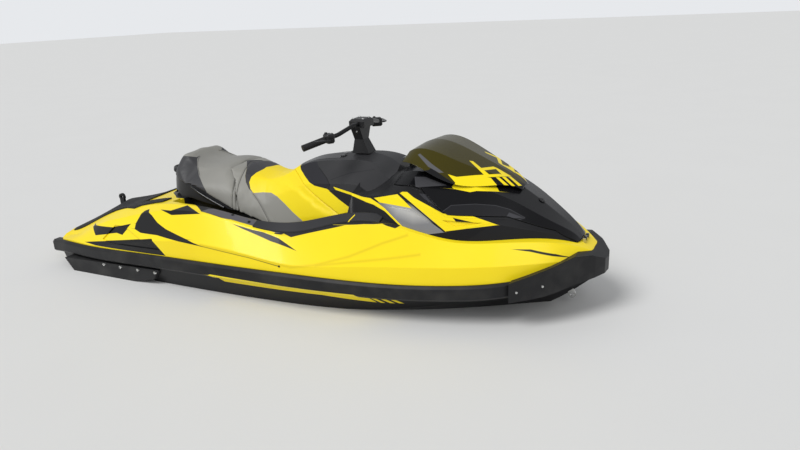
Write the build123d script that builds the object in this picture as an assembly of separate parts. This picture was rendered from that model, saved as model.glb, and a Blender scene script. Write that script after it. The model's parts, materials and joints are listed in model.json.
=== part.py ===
"""Personal watercraft: a vee hull with its jet pump, a deck with two footwells, a straddle seat,
a console with handlebar steering, and a hinged hood over the front locker.

Lengths are millimetres. The craft is drawn from its stern end (x = 0, bow at +X), its centre plane
(port at +Y) and its keel line (z = 0). Every piece is moved once, at export, so that the origin lies
amidships in the waterline plane.
"""
import os
from math import cos, radians, sin

from build123d import *

os.makedirs("parts", exist_ok=True)

# Overall sizes
LENGTH = 3318
DRAFT = 245
FAR = 4000
SEAM = 0.3
SKIN = 6
RUN_FIT = 0.1
CLEAR = 6

# Hull and deck lines, one row per station from stern to bow
# columns: x, keel z, chine y, chine z, bond y, bond z, crease y, crease z,
#          rim y, rim z, inner rim y, inner rim z, crown z
STATIONS = [
    (40, 0, 440, 178, 482, 360, 476, 392, 430, 420, 360, 436, 452),
    (340, 0, 470, 184, 535, 376, 536, 420, 462, 505, 380, 545, 566),
    (680, 0, 490, 190, 566, 392, 572, 470, 500, 612, 420, 650, 668),
    (1000, 0, 496, 196, 582, 406, 587, 532, 505, 682, 450, 706, 700),
    (1320, 0, 494, 202, 590, 413, 590, 552, 502, 690, 452, 700, 640),
    (1620, 0, 486, 211, 590, 417, 588, 530, 500, 638, 450, 662, 600),
    (1860, 2, 474, 224, 585, 420, 582, 503, 498, 622, 440, 676, 620),
    (2130, 8, 446, 246, 566, 419, 564, 520, 486, 700, 428, 742, 690),
    (2380, 24, 402, 272, 532, 418, 531, 540, 462, 722, 398, 742, 720),
    (2660, 78, 322, 314, 464, 422, 466, 548, 402, 655, 330, 662, 664),
    (2900, 165, 216, 362, 378, 438, 380, 556, 318, 650, 250, 652, 652),
    (3090, 276, 112, 410, 262, 462, 262, 556, 205, 634, 150, 636, 636),
    (3210, 372, 48, 442, 140, 484, 138, 540, 104, 590, 70, 592, 592),
    (3290, 446, 12, 474, 40, 500, 38, 520, 28, 536, 18, 538, 538),
]

# Bumper rail round the bond line
RAIL_OUT = 22
RAIL_HALF = 38
RAIL_LIP = 12
RAIL_ROOT = 30
RAIL_AFT = 0
RAIL_END = 2950
NOSE_TOP = [(2945, 486), (3100, 540), (3196, 578), (3262, 566), (3330, 520)]
NOSE_BOTTOM = [(2945, 390), (3090, 408), (3205, 440), (3330, 462)]
NOSE_OUT = 26
NOSE_PLAN = [(2945, 378), (3040, 322), (3130, 250), (3210, 168), (3275, 88), (3310, 32)]

# Seat and console surface
# columns: x, top z, shoulder y, shoulder z, side y, side z, hem y, hem z
SADDLE = [
    (800, 842, 120, 832, 190, 776, 205, 690),
    (930, 893, 160, 880, 262, 796, 286, 680),
    (1110, 877, 160, 864, 276, 768, 306, 640),
    (1300, 848, 142, 836, 248, 738, 304, 570),
    (1450, 816, 122, 803, 216, 704, 298, 500),
    (1600, 872, 104, 858, 184, 756, 288, 500),
    (1750, 932, 116, 916, 204, 812, 288, 540),
    (1950, 956, 128, 940, 238, 838, 304, 570),
    (2180, 936, 156, 922, 292, 824, 372, 590),
    (2330, 906, 176, 896, 330, 820, 402, 600),
]
SEAT_HEM = [(790, 800), (1040, 764), (1300, 648), (1600, 545), (1790, 612), (2040, 672)]
SEAT_FRONT_TOP = (1572, 892)
SEAT_FRONT_LOW = (2040, 672)
SEAT_FRONT_GAP = 3
SEAT_SPLIT = [(1190, 1000), (1208, 850), (1262, 800), (1294, 740), (1330, 640), (1330, 400)]
PEDESTAL_HALF = 228
PEDESTAL_TOP = [(760, 690), (1000, 694), (1300, 640), (1600, 600), (1900, 618), (2080, 640)]
SADDLE_GAP = 8

# Footwells
# columns: x, floor z, inner y, outer y at the floor, outer y at the top
FOOTWELL = [
    (960, 640, PEDESTAL_HALF, 380, 430),
    (1100, 420, PEDESTAL_HALF, 408, 446),
    (1500, 392, PEDESTAL_HALF, 412, 444),
    (1850, 392, PEDESTAL_HALF, 402, 434),
    (2080, 418, PEDESTAL_HALF, 380, 420),
    (2200, 560, PEDESTAL_HALF, 360, 410),
]
FOOTWELL_TOP = 900
MAT = 8

# Front body: hood above the parting line, fixed cowl below it
# columns: x, top z, shoulder y, shoulder z, side y, side z, hem y, hem z
FRONT = [
    (2110, 890, 170, 884, 318, 824, 432, 660),
    (2340, 934, 196, 916, 392, 846, 452, 660),
    (2470, 952, 214, 930, 398, 832, 440, 640),
    (2620, 930, 222, 900, 370, 788, 398, 600),
    (2800, 878, 196, 850, 306, 738, 336, 590),
    (2950, 800, 158, 780, 236, 700, 262, 580),
    (3080, 708, 108, 700, 158, 664, 178, 560),
    (3192, 612, 46, 609, 78, 602, 92, 560),
]
HOOD_LINE = [(2336, 880), (2440, 884), (2490, 874), (2640, 774), (2890, 750), (3090, 672), (3192, 602)]
HOOD_HINGE = (3206, 608)
HOOD_PIN_R = 4
HOOD_LUG_R = 8
HOOD_LUG_Y = (-22, 22)
HOOD_LUG_W = 12
HOOD_EAR_T = 6
HOOD_BASE_HALF = 44

# Locker under the hood
BIN_X = (2500, 2930)
BIN_FLOOR = 360
BIN_HALF = 172
BIN_WALL = 5
BIN_RIM = 700

# Wind deflector over the hood
# columns: x, top z, shoulder y, shoulder z, edge y, edge z
DEFLECTOR = [
    (2372, 1030, 180, 1022, 268, 986),
    (2458, 1052, 190, 1040, 284, 972),
    (2600, 1014, 178, 994, 276, 906),
    (2760, 938, 120, 926, 186, 874),
    (2906, 846, 36, 843, 60, 834),
]
DEFLECTOR_SKIN = 5

# Side fairings beside the console: silver panel, then the yellow band in front of it
FAIRING_PANEL = [(2300, 806), (2470, 793), (2634, 692), (2630, 640), (2450, 664)]
FAIRING_BAND = [(2300, 836), (2397, 860), (2446, 874), (2492, 864), (2632, 764), (2884, 740),
                (2638, 692), (2474, 795), (2304, 808)]
FAIRING_DEPTH = 30
GRILLE = [(2618, 748), (2790, 732), (2676, 718)]
GRILLE_DEPTH = 14
REAR_GRILLE = [(505, 470), (600, 556), (690, 566), (1010, 478), (560, 462)]
REAR_GRILLE_DEPTH = 16
GRILLE_SET_BACK = 7

# Jet pump
PUMP_Z = 165
PUMP_BORE_R = 81
PUMP_WALL = 14
PUMP_FRONT = 560
PUMP_BACK = 332
VENTURI_END = 268
VENTURI_R = 42
STATOR_VANES = 8
STATOR_HUB_R = 34
STATOR_X = (345, 405)
FLANGE_R = 118
FLANGE_T = 12
TUNNEL_HALF = 150
TUNNEL_TOP = 322
DUCT_HALF = 84

# Impeller and shaft
IMPELLER_X = (420, 500)
IMPELLER_R = 76
IMPELLER_HUB_R = 29
IMPELLER_BLADES = 4
BLADE_TWIST = 78
BLADE_T = 5
SHAFT_R = 14
SHAFT_BORE_R = 24

# Steering nozzle and reverse bucket
PIVOT_X = 236
NOZZLE_LIP_R = 62
NOZZLE_OUT_R = 44
NOZZLE_WALL = 5
NOZZLE_REAR = 138
NOZZLE_FRONT = 252
PIVOT_PIN_R = 6
EAR_Z = 84
EAR_T = 8
EAR_HALF = 16
ARM_Y = 104
ARM_T = 9
CHEEK_GAP = 6
CHEEK_T = 6
BUCKET_R = 130
BUCKET_T = 6
BUCKET_FROM = 54
BUCKET_TO = 138

# Steering column and handlebar
COLUMN_FOOT = (2012, 958)
COLUMN_TILT = 20
BAR_R = 11
BAR_PATH = [(1992, 0, 1122), (2012, 95, 1122), (1990, 215, 1094), (1880, 372, 1050)]
GRIP_R = 17
GRIP_LENGTH = 122

RISER = [(962, 2014, 50, 42), (1036, 2002, 27, 30), (1104, 2000, 28, 62), (1110, 2000, 28, 62)]
PAD = ((1960, 2052), (-52, 52), (1102, 1146))
LEVER_OUT = 52
LEVER_T = 7
POD = (44, 62, 48)

# Gauge display
GAUGE_X = (2244, 2322)
GAUGE_HALF = 82
GAUGE_TOP = 966

# Engine block and its bay
BAY_X = (1160, 1900)
BAY_HALF = 150
BAY_FLOOR = 112
ENGINE_X = (1236, 1800)
ENGINE_HALF = 138
ENGINE_TOP = 470

# Glovebox in the console
GLOVE_X = (1664, 1916)
GLOVE_HALF = 92
GLOVE_FLOOR = 826
TUB_X = (1740, 1908)
TUB_HALF = 84
LID_T = 12
LID_HINGE = (1922, 946)
LID_GAP = 5
LID_PIN_R = 3
LID_LUG_R = 6
LID_LUG_Y = (-56, 56)
LID_LUG_W = 16
LID_NOTCH = 8

# Seat carrier and grab handle
COLLAR_INSET = 16
PAN_T = 12
GRAB_R = 13
GRAB_PATH = [(842, 120, 792), (745, 118, 806), (700, 70, 812)]
GRAB_BEND = 34

# Ride plate, intake grate and sponsons
RIDE_X = (78, 552)
RIDE_SECTION = [(0, 20), (60, 24), (149.5, 58)]
RIDE_T = 12
GRATE_Y = (-42, 0, 42)
GRATE_W = 9
GRATE_LINE = [(690, 40), (1022, 5), (1004, 16), (690, 56)]
GRATE_BAR_X = (690, 712)
SPONSON = [(170, 322), (955, 342), (900, 276), (700, 236), (250, 226)]
SPONSON_Y = (400, 566)

# Deck fittings
TRIM_X = (1600, 2330)
PED_TRIM = [(930, 470), (930, 752), (1040, 752), (1296, 634), (1560, 536), (1590, 440)]
PED_TRIM_T = 10
EYE_R = 9
EYE_OUT_R = 20
EYE_T = 12
BOW_EYE_X = 3150
STERN_EYE = (22, 290)
STERN_EYE_Y = 330
TOW_EYE = (96, 552)
TOW_EYE_FOOT = 440
TOW_EYE_R = 11
TOW_EYE_OUT_R = 24
TOW_EYE_T = 16
PLUG_R = 13
PLUG_Y = 225
PLUG_Z = 150
PLUG_OUT = 10


def at_export(shapes):
    """Moves solids from the drawing origin to the waterline amidships."""
    shift = Location((-LENGTH / 2, 0, -DRAFT))
    return Compound([shape.moved(shift) for shape in shapes])


def solids_of(shape):
    """Lists the solids of a shape, or of a list of shapes."""
    shapes = shape if isinstance(shape, list) else [shape]
    return [solid for item in shapes for solid in item.solids()]


def save(name, shape):
    """Writes one node."""
    export_step(at_export(solids_of(shape)), f"parts/{name}.step")


def both_sides(shape):
    """Adds the port copy of a starboard shape."""
    return solids_of(shape) + solids_of(mirror(shape, about=Plane.XZ))


def cross_section(x, half):
    """Closed outline across the craft at x; half runs from the bottom centre to the top centre."""
    starboard = [(x, -y, z) for y, z in half]
    port = [(x, y, z) for y, z in reversed(half) if y > 0]
    return Wire.make_polygon([Vector(*point) for point in starboard + port], close=True)


def side_prism(outline, y_from, y_to):
    """A side-view outline, given as (x, z), pushed through from y_from to y_to."""
    wire = Wire.make_polygon([Vector(x, y_from, z) for x, z in outline], close=True)
    return Solid.extrude(Face(wire), Vector(0, y_to - y_from, 0))


def plan_prism(outline, z_from, z_to):
    """A plan outline, given as (x, y), pushed up from z_from to z_to."""
    wire = Wire.make_polygon([Vector(x, y, z_from) for x, y in outline], close=True)
    return Solid.extrude(Face(wire), Vector(0, 0, z_to - z_from))


def block(x, y, z):
    """A box from three (low, high) pairs."""
    size = [high - low for low, high in (x, y, z)]
    return Pos(*[(low + high) / 2 for low, high in (x, y, z)]) * Box(*size)


def region_above(line, half_width, z_top=FAR):
    """Everything above a side-view line and inside half_width."""
    outline = line + [(line[-1][0], z_top), (line[0][0], z_top)]
    return side_prism(outline, -half_width, half_width)


def region_below(line, half_width, z_bottom=-FAR):
    """Everything below a side-view line and inside half_width."""
    outline = line + [(line[-1][0], z_bottom), (line[0][0], z_bottom)]
    return side_prism(outline, -half_width, half_width)


def rod(a, b, radius):
    """A round bar between two points."""
    start, end = Vector(*a), Vector(*b)
    plane = Plane(origin=start, z_dir=end - start)
    return Solid.make_cylinder(radius, (end - start).length, plane)


def craft_loft():
    """The whole outside of hull and deck before anything is cut from it."""
    rings = []
    for x, keel, chine_y, chine_z, bond_y, bond_z, fold_y, fold_z, rim_y, rim_z, in_y, in_z, crown in STATIONS:
        half = [(0, keel), (chine_y, chine_z), (bond_y, bond_z), (fold_y, fold_z),
                (rim_y, rim_z), (in_y, in_z), (0, crown)]
        rings.append(cross_section(x, half))
    return Solid.make_loft(rings)


def saddle_loft():
    """The outside shared by the seat and the console."""
    rings = []
    for x, top, sh_y, sh_z, side_y, side_z, hem_y, hem_z in SADDLE:
        half = [(0, hem_z), (hem_y, hem_z), (side_y, side_z), (sh_y, sh_z), (0, top)]
        rings.append(cross_section(x, half))
    return Solid.make_loft(rings)


def front_loft(inset=0):
    """The outside shared by the hood and the cowl, or its inside at a wall thickness."""
    rings = []
    for x, top, sh_y, sh_z, side_y, side_z, hem_y, hem_z in FRONT:
        half = [(0, hem_z), (hem_y - inset, hem_z), (side_y - inset, side_z - inset / 2),
                (sh_y - inset / 2, sh_z - inset), (0, top - inset)]
        rings.append(cross_section(x, half))
    return Solid.make_loft(rings)


def deflector_loft(inset=0):
    """The wind deflector's outside, or its inside at a wall thickness."""
    rings = []
    for x, top, sh_y, sh_z, edge_y, edge_z in DEFLECTOR:
        half = [(0, edge_z - inset), (edge_y - inset, edge_z - inset),
                (sh_y - inset / 2, sh_z - inset), (0, top - inset)]
        rings.append(cross_section(x, half))
    return Solid.make_loft(rings)


def bond_line():
    """Side-view points of the joint between hull and deck, run past both ends."""
    line = [(row[0], row[5]) for row in STATIONS]
    return [(-FAR, line[0][1])] + line + [(FAR, line[-1][1])]


def footwell_cut(lift=0, height=None):
    """The starboard footwell's space, or a slab of it on the floor."""
    rings = []
    for x, floor, in_y, out_floor, out_top in FOOTWELL:
        low = floor + lift
        top = FOOTWELL_TOP if height is None else low + height
        lean = (out_top - out_floor) * (top - floor) / (FOOTWELL_TOP - floor)
        points = [(x, -in_y, low), (x, -out_floor, low), (x, -out_floor - lean, top), (x, -in_y, top)]
        rings.append(Wire.make_polygon([Vector(*point) for point in points], close=True))
    return Solid.make_loft(rings, ruled=True)


def station_value(x, column):
    """A value of the station table, read off in straight lines between its rows."""
    for low, high in zip(STATIONS, STATIONS[1:]):
        if low[0] <= x <= high[0]:
            share = (x - low[0]) / (high[0] - low[0])
            return low[column] + share * (high[column] - low[column])
    return STATIONS[-1][column]


def bumper_rail(craft):
    """The starboard rail: a chamfered band lofted along the bond line."""
    rings = []
    for x in [RAIL_AFT] + [row[0] for row in STATIONS if 60 < row[0] < RAIL_END] + [RAIL_END]:
        row_x = max(x, STATIONS[0][0])
        y, z = station_value(row_x, 4), station_value(row_x, 5)
        points = [(y - RAIL_ROOT, z - RAIL_HALF), (y + RAIL_OUT - RAIL_LIP, z - RAIL_HALF),
                  (y + RAIL_OUT, z - RAIL_HALF + RAIL_LIP), (y + RAIL_OUT, z + RAIL_HALF - RAIL_LIP),
                  (y + RAIL_OUT - RAIL_LIP, z + RAIL_HALF), (y - RAIL_ROOT, z + RAIL_HALF)]
        rings.append(Wire.make_polygon([Vector(x, -py, pz) for py, pz in points], close=True))
    return Solid.make_loft(rings) - craft


def bow_bumper(craft):
    """The bumper's bow piece: a plan outline wrapped round the stem, shaped in side view."""
    plan = NOSE_PLAN + [(3318, 0)] + [(x, -y) for x, y in reversed(NOSE_PLAN)]
    nose = plan_prism([(x, y + NOSE_OUT if y > 0 else y - NOSE_OUT if y < 0 else 0) for x, y in plan], 300, 700)
    profile = side_prism(NOSE_BOTTOM + NOSE_TOP[::-1], -FAR, FAR)
    return (nose & profile) - craft


def ring_of(points):
    """Closed wire through points."""
    return Wire.make_polygon([Vector(*point) for point in points], close=True)


def pump_ring(profile):
    """A solid of revolution about the pump axis from (x, radius) points."""
    face = Face(ring_of([(x, 0, PUMP_Z + r) for x, r in profile]))
    return revolve(face, Axis((0, 0, PUMP_Z), (1, 0, 0)), 360)


def vane(x_from, x_to, r_in, r_out, thickness, start, twist, steps=4):
    """One twisted vane between two radii."""
    rings = []
    for step in range(steps + 1):
        x = x_from + (x_to - x_from) * step / steps
        turn = radians(start + twist * step / steps)
        across = Vector(0, cos(turn), sin(turn))
        along = Vector(0, -sin(turn), cos(turn)) * (thickness / 2)
        axis_point = Vector(x, 0, PUMP_Z)
        corners = [across * r_in - along, across * r_out - along, across * r_out + along, across * r_in + along]
        rings.append(Wire.make_polygon([axis_point + corner for corner in corners], close=True))
    return Solid.make_loft(rings)


def eye(x, y, z, outer_r, hole_r, thickness, foot):
    """A plate with a round hole across the craft and a foot that runs to the point foot."""
    disc = rod((x, y - thickness / 2, z), (x, y + thickness / 2, z), outer_r)
    run = Vector(foot[0] - x, 0, foot[1] - z)
    side = Vector(-run.Z, 0, run.X).normalized() * (outer_r * 0.8)
    centre = Vector(x, y - thickness / 2, z)
    leg = Solid.extrude(Face(Wire.make_polygon([centre + side, centre - side, centre - side + run,
                                                centre + side + run], close=True)), Vector(0, thickness, 0))
    return (disc + leg) - rod((x, y - thickness, z), (x, y + thickness, z), hole_r)


def build_hull(craft):
    """The hull below the bond line, with its pump tunnel, intake, engine bay and locker well."""
    tunnel = block((-100, PUMP_FRONT), (-TUNNEL_HALF, TUNNEL_HALF), (-100, TUNNEL_TOP))
    mouth = PUMP_FRONT - 5
    duct_line = [(mouth, PUMP_Z - PUMP_BORE_R), (mouth, PUMP_Z + PUMP_BORE_R), (640, PUMP_Z + PUMP_BORE_R),
                 (780, 178), (1060, -20), (664, -20), (640, 70)]
    duct = side_prism(duct_line, -DUCT_HALF, DUCT_HALF)
    shaft_bore = rod((700, 0, PUMP_Z), (BAY_X[0] + 5, 0, PUMP_Z), SHAFT_BORE_R)
    hull = craft & region_below(bond_line(), FAR)
    well = footwell_cut()
    return hull - tunnel - duct - bay_space() - shaft_bore - locker_space() - well - mirror(well, about=Plane.XZ)


def bay_space():
    """The engine bay, open upwards."""
    return block(BAY_X, (-BAY_HALF, BAY_HALF), (BAY_FLOOR, FAR))


def locker_space():
    """The well that takes the front locker, open upwards."""
    return block(BIN_X, (-BIN_HALF, BIN_HALF), (BIN_FLOOR, FAR))


def grille_layers(outline, base, inward, depth):
    """The pocket for a starboard grille set into base, and the grille that lies on its floor."""
    prism = side_prism(outline, -FAR, 0)
    floor = base.moved(Location((0, depth, 0)))
    face = base.moved(Location((0, inward, 0)))
    return (prism & base) - floor, (prism & face) - floor


def build_deck(craft, pocket):
    """The deck above the bond line, with its footwells, pedestal and bays."""
    well = footwell_cut()
    deck = craft - region_below(bond_line(), FAR)
    deck = deck - well - mirror(well, about=Plane.XZ) - region_above(PEDESTAL_TOP, 330)
    return deck - bay_space() - locker_space() - pocket - mirror(pocket, about=Plane.XZ)


def build_seat(saddle, seat_side):
    """Seat carrier, front cushion and rear bolster."""
    cushions = (saddle & seat_side) - region_below(SEAT_HEM, FAR)
    cavity_half = PEDESTAL_HALF + SADDLE_GAP
    pan_line = [(x, z + PAN_T) for x, z in PEDESTAL_TOP]
    cushions = cushions - region_below(pan_line, cavity_half)
    split = side_prism(SEAT_SPLIT + [(FAR, 400), (FAR, 1000)], -FAR, FAR)
    seam = split.moved(Location((-SEAM, 0, 0)))
    rest = [(x, z + SEAM) for x, z in PEDESTAL_TOP]
    pan = region_above(rest, cavity_half - SEAM) & region_below(pan_line, FAR) & seat_side
    pan = pan & block((806, 1980), (-FAR, FAR), (0, FAR)) & saddle
    shrink = 1 - 2 * COLLAR_INSET / 560
    collar = scale(saddle, by=(1, shrink, 1)) & region_below(SEAT_HEM, FAR) & region_above(rest, FAR)
    carrier = (pan + collar) & seat_side
    path = FilletPolyline(*[(x, -y, z) for x, y, z in GRAB_PATH], *[p for p in reversed(GRAB_PATH)], radius=GRAB_BEND)
    grab = sweep(Plane(origin=path @ 0, z_dir=path % 0) * Circle(GRAB_R), path=path)
    return carrier, cushions & split, cushions - seam, grab - cushions - carrier


def build_pump():
    """Pump housing with its stator, cone and the ears and arms that carry nozzle and bucket."""
    shell = pump_ring([(PUMP_FRONT, FLANGE_R), (PUMP_FRONT - FLANGE_T, FLANGE_R),
                       (PUMP_FRONT - FLANGE_T, PUMP_BORE_R + PUMP_WALL), (PUMP_BACK, PUMP_BORE_R + PUMP_WALL),
                       (VENTURI_END, VENTURI_R + NOZZLE_WALL), (VENTURI_END, VENTURI_R),
                       (PUMP_BACK, PUMP_BORE_R - 3), (STATOR_X[0], PUMP_BORE_R), (PUMP_FRONT, PUMP_BORE_R)])
    cone = pump_ring([(STATOR_X[1], SHAFT_R + RUN_FIT), (STATOR_X[1], STATOR_HUB_R - 3), (STATOR_X[0], STATOR_HUB_R),
                      (300, 12), (294, 4), (294, 0), (372, 0), (372, SHAFT_R + RUN_FIT)])
    pump = shell + cone
    for index in range(STATOR_VANES):
        pump = pump + vane(*STATOR_X, STATOR_HUB_R - 6, PUMP_BORE_R + 3, 5, index * 360 / STATOR_VANES, -24, 2)
    for side in (-1, 1):
        low = PUMP_Z + side * EAR_Z
        high = low + side * EAR_T
        ear = block((PIVOT_X - EAR_HALF, STATOR_X[0]), (-EAR_HALF, EAR_HALF), sorted((low, high)))
        pump = pump + ear - rod((PIVOT_X, 0, low - side), (PIVOT_X, 0, high + side), PIVOT_PIN_R + RUN_FIT)
        arm_y = sorted((side * ARM_Y, side * (ARM_Y + ARM_T)))
        pad_y = sorted((side * (PUMP_BORE_R + 4), side * ARM_Y))
        arm_z = (PUMP_Z - EAR_HALF, PUMP_Z + EAR_HALF)
        pump = pump + block((PIVOT_X - EAR_HALF, 372), arm_y, arm_z) + block((338, 372), pad_y, arm_z)
        pin_end = side * (ARM_Y + ARM_T + CHEEK_GAP + CHEEK_T + 4)
        pump = pump + rod((PIVOT_X, side * ARM_Y, PUMP_Z), (PIVOT_X, pin_end, PUMP_Z), PIVOT_PIN_R)
    return pump


def build_nozzle():
    """The steering nozzle, a bell that tapers to the jet's outlet, with its two pivot pins."""
    nozzle = pump_ring([(NOZZLE_FRONT, NOZZLE_LIP_R + NOZZLE_WALL), (PIVOT_X - 12, NOZZLE_LIP_R + NOZZLE_WALL + 1),
                        (NOZZLE_REAR, NOZZLE_OUT_R + NOZZLE_WALL), (NOZZLE_REAR, NOZZLE_OUT_R),
                        (PIVOT_X - 12, NOZZLE_LIP_R), (NOZZLE_FRONT, NOZZLE_LIP_R)])
    for side in (-1, 1):
        root = PUMP_Z + side * (NOZZLE_LIP_R + 2)
        collar_end = PUMP_Z + side * (EAR_Z - 3)
        nozzle = nozzle + rod((PIVOT_X, 0, root), (PIVOT_X, 0, collar_end), PIVOT_PIN_R + 5)
        nozzle = nozzle + rod((PIVOT_X, 0, root), (PIVOT_X, 0, PUMP_Z + side * (EAR_Z + EAR_T)), PIVOT_PIN_R)
    return nozzle


def build_bucket():
    """The reverse bucket, a curved shell between two cheeks, raised over the nozzle."""
    cheek_in = ARM_Y + ARM_T + CHEEK_GAP
    cheek_out = cheek_in + CHEEK_T
    span = [(PIVOT_X, PUMP_Z)]
    for angle in (BUCKET_FROM, (BUCKET_FROM + BUCKET_TO) / 2, BUCKET_TO):
        span.append((PIVOT_X + 2 * BUCKET_R * cos(radians(angle)), PUMP_Z + 2 * BUCKET_R * sin(radians(angle))))
    wedge = side_prism(span, -FAR, FAR)
    drum = rod((PIVOT_X, -cheek_out, PUMP_Z), (PIVOT_X, cheek_out, PUMP_Z), BUCKET_R)
    hollow = rod((PIVOT_X, -cheek_in, PUMP_Z), (PIVOT_X, cheek_in, PUMP_Z), BUCKET_R - BUCKET_T)
    bucket = (drum & wedge) - hollow
    for side in (-1, 1):
        boss = rod((PIVOT_X, side * cheek_in, PUMP_Z), (PIVOT_X, side * cheek_out, PUMP_Z), PIVOT_PIN_R + 12)
        bucket = bucket + boss
    return bucket - rod((PIVOT_X, -FAR, PUMP_Z), (PIVOT_X, FAR, PUMP_Z), PIVOT_PIN_R + RUN_FIT)


def build_impeller():
    """Hub and swept blades."""
    x_from, x_to = IMPELLER_X
    bore = SHAFT_R + SEAM
    impeller = pump_ring([(x_from, bore), (x_from, IMPELLER_HUB_R), (x_to, IMPELLER_HUB_R - 5), (x_to, bore)])
    for index in range(IMPELLER_BLADES):
        start = index * 360 / IMPELLER_BLADES
        impeller = impeller + vane(x_from + 6, x_to - 6, IMPELLER_HUB_R - 8, IMPELLER_R, BLADE_T, start, BLADE_TWIST)
    return impeller


def ride_plate():
    """The plate that closes the tunnel below the pump."""
    low = [(-y, z) for y, z in reversed(RIDE_SECTION)] + RIDE_SECTION[1:]
    high = [(y, z + RIDE_T) for y, z in reversed(low)]
    face = Face(ring_of([(RIDE_X[0], y, z) for y, z in low + high]))
    return Solid.extrude(face, Vector(RIDE_X[1] - RIDE_X[0], 0, 0))


def intake_grate():
    """Bars along the intake, joined by a bar across its rear end."""
    cross = block(GRATE_BAR_X, (-DUCT_HALF + SEAM, DUCT_HALF - SEAM), (40, 56))
    bars = [side_prism(GRATE_LINE, y - GRATE_W / 2, y + GRATE_W / 2) for y in GRATE_Y]
    return cross.fuse(*bars)


def bar_points(side):
    """Handlebar route on one side, from the middle outwards."""
    return [(x, side * y, z) for x, y, z in BAR_PATH[1:]]


def build_steering():
    """Riser, bar, grips, pods, levers and pad."""
    route = list(reversed(bar_points(-1))) + bar_points(1)
    path = FilletPolyline(*route, radius=50)
    bar = sweep(Plane(origin=path @ 0, z_dir=path % 0) * Circle(BAR_R), path=path)
    rings = [ring_of([(x - long, -half, z), (x + long, -half, z), (x + long, half, z), (x - long, half, z)])
             for z, x, long, half in RISER]
    tilt = radians(COLUMN_TILT)
    foot_x, foot_z = COLUMN_FOOT
    stem_low = (foot_x + 70 * sin(tilt), 0, foot_z - 70 * cos(tilt))
    stem_high = (foot_x - 20 * sin(tilt), 0, foot_z + 20 * cos(tilt))
    riser = Solid.make_loft(rings, ruled=True) + rod(stem_low, stem_high, 16)
    riser = riser - rod((BAR_PATH[1][0], -FAR, BAR_PATH[1][2]), (BAR_PATH[1][0], FAR, BAR_PATH[1][2]), BAR_R + SEAM)
    pad = block(*PAD)
    pad = chamfer(pad.edges().group_by(Axis.Z)[-1], 12) - riser
    pad = pad - rod((BAR_PATH[1][0], -FAR, BAR_PATH[1][2]), (BAR_PATH[1][0], FAR, BAR_PATH[1][2]), BAR_R + SEAM)
    grips, pods, levers = [], [], []
    for side in (-1, 1):
        bend, end = [Vector(*point) for point in bar_points(side)[-2:]]
        out = (end - bend).normalized()
        start = end - out * (GRIP_LENGTH - 6)
        tip = end + out * 6
        sleeve = rod(start, tip, GRIP_R) - rod(start - out, end + out * SEAM, BAR_R + SEAM)
        grips.append(sleeve)
        pod_plane = Plane(origin=start - out * (POD[0] / 2 + 4), x_dir=out, z_dir=Vector(0, 0, 1))
        pod = pod_plane * Pos(0, 0, 0) * Box(*POD)
        pod = chamfer(pod.edges(), 8) - rod(bend, end, BAR_R + SEAM)
        pods.append(pod)
        fore = Vector(0, 0, 1).cross(out) * (1 if side < 0 else -1)
        lever_plane = Plane(origin=start - out * (POD[0] / 2), x_dir=out, z_dir=Vector(0, 0, 1))
        ahead = 1 if lever_plane.y_dir.X > 0 else -1
        blade_line = [(-14, 22), (-14, 46), (12, LEVER_OUT + 8), (96, LEVER_OUT - 4), (96, LEVER_OUT - 12),
                      (16, LEVER_OUT - 4), (8, 22)]
        blade = Polyline(*[(u, ahead * v) for u, v in blade_line], close=True)
        lever = extrude(lever_plane * Pos(0, 0, -LEVER_T / 2) * make_face(blade), LEVER_T)
        levers.append(lever - pod)
    return riser, bar, grips, pods, levers, pad


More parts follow.
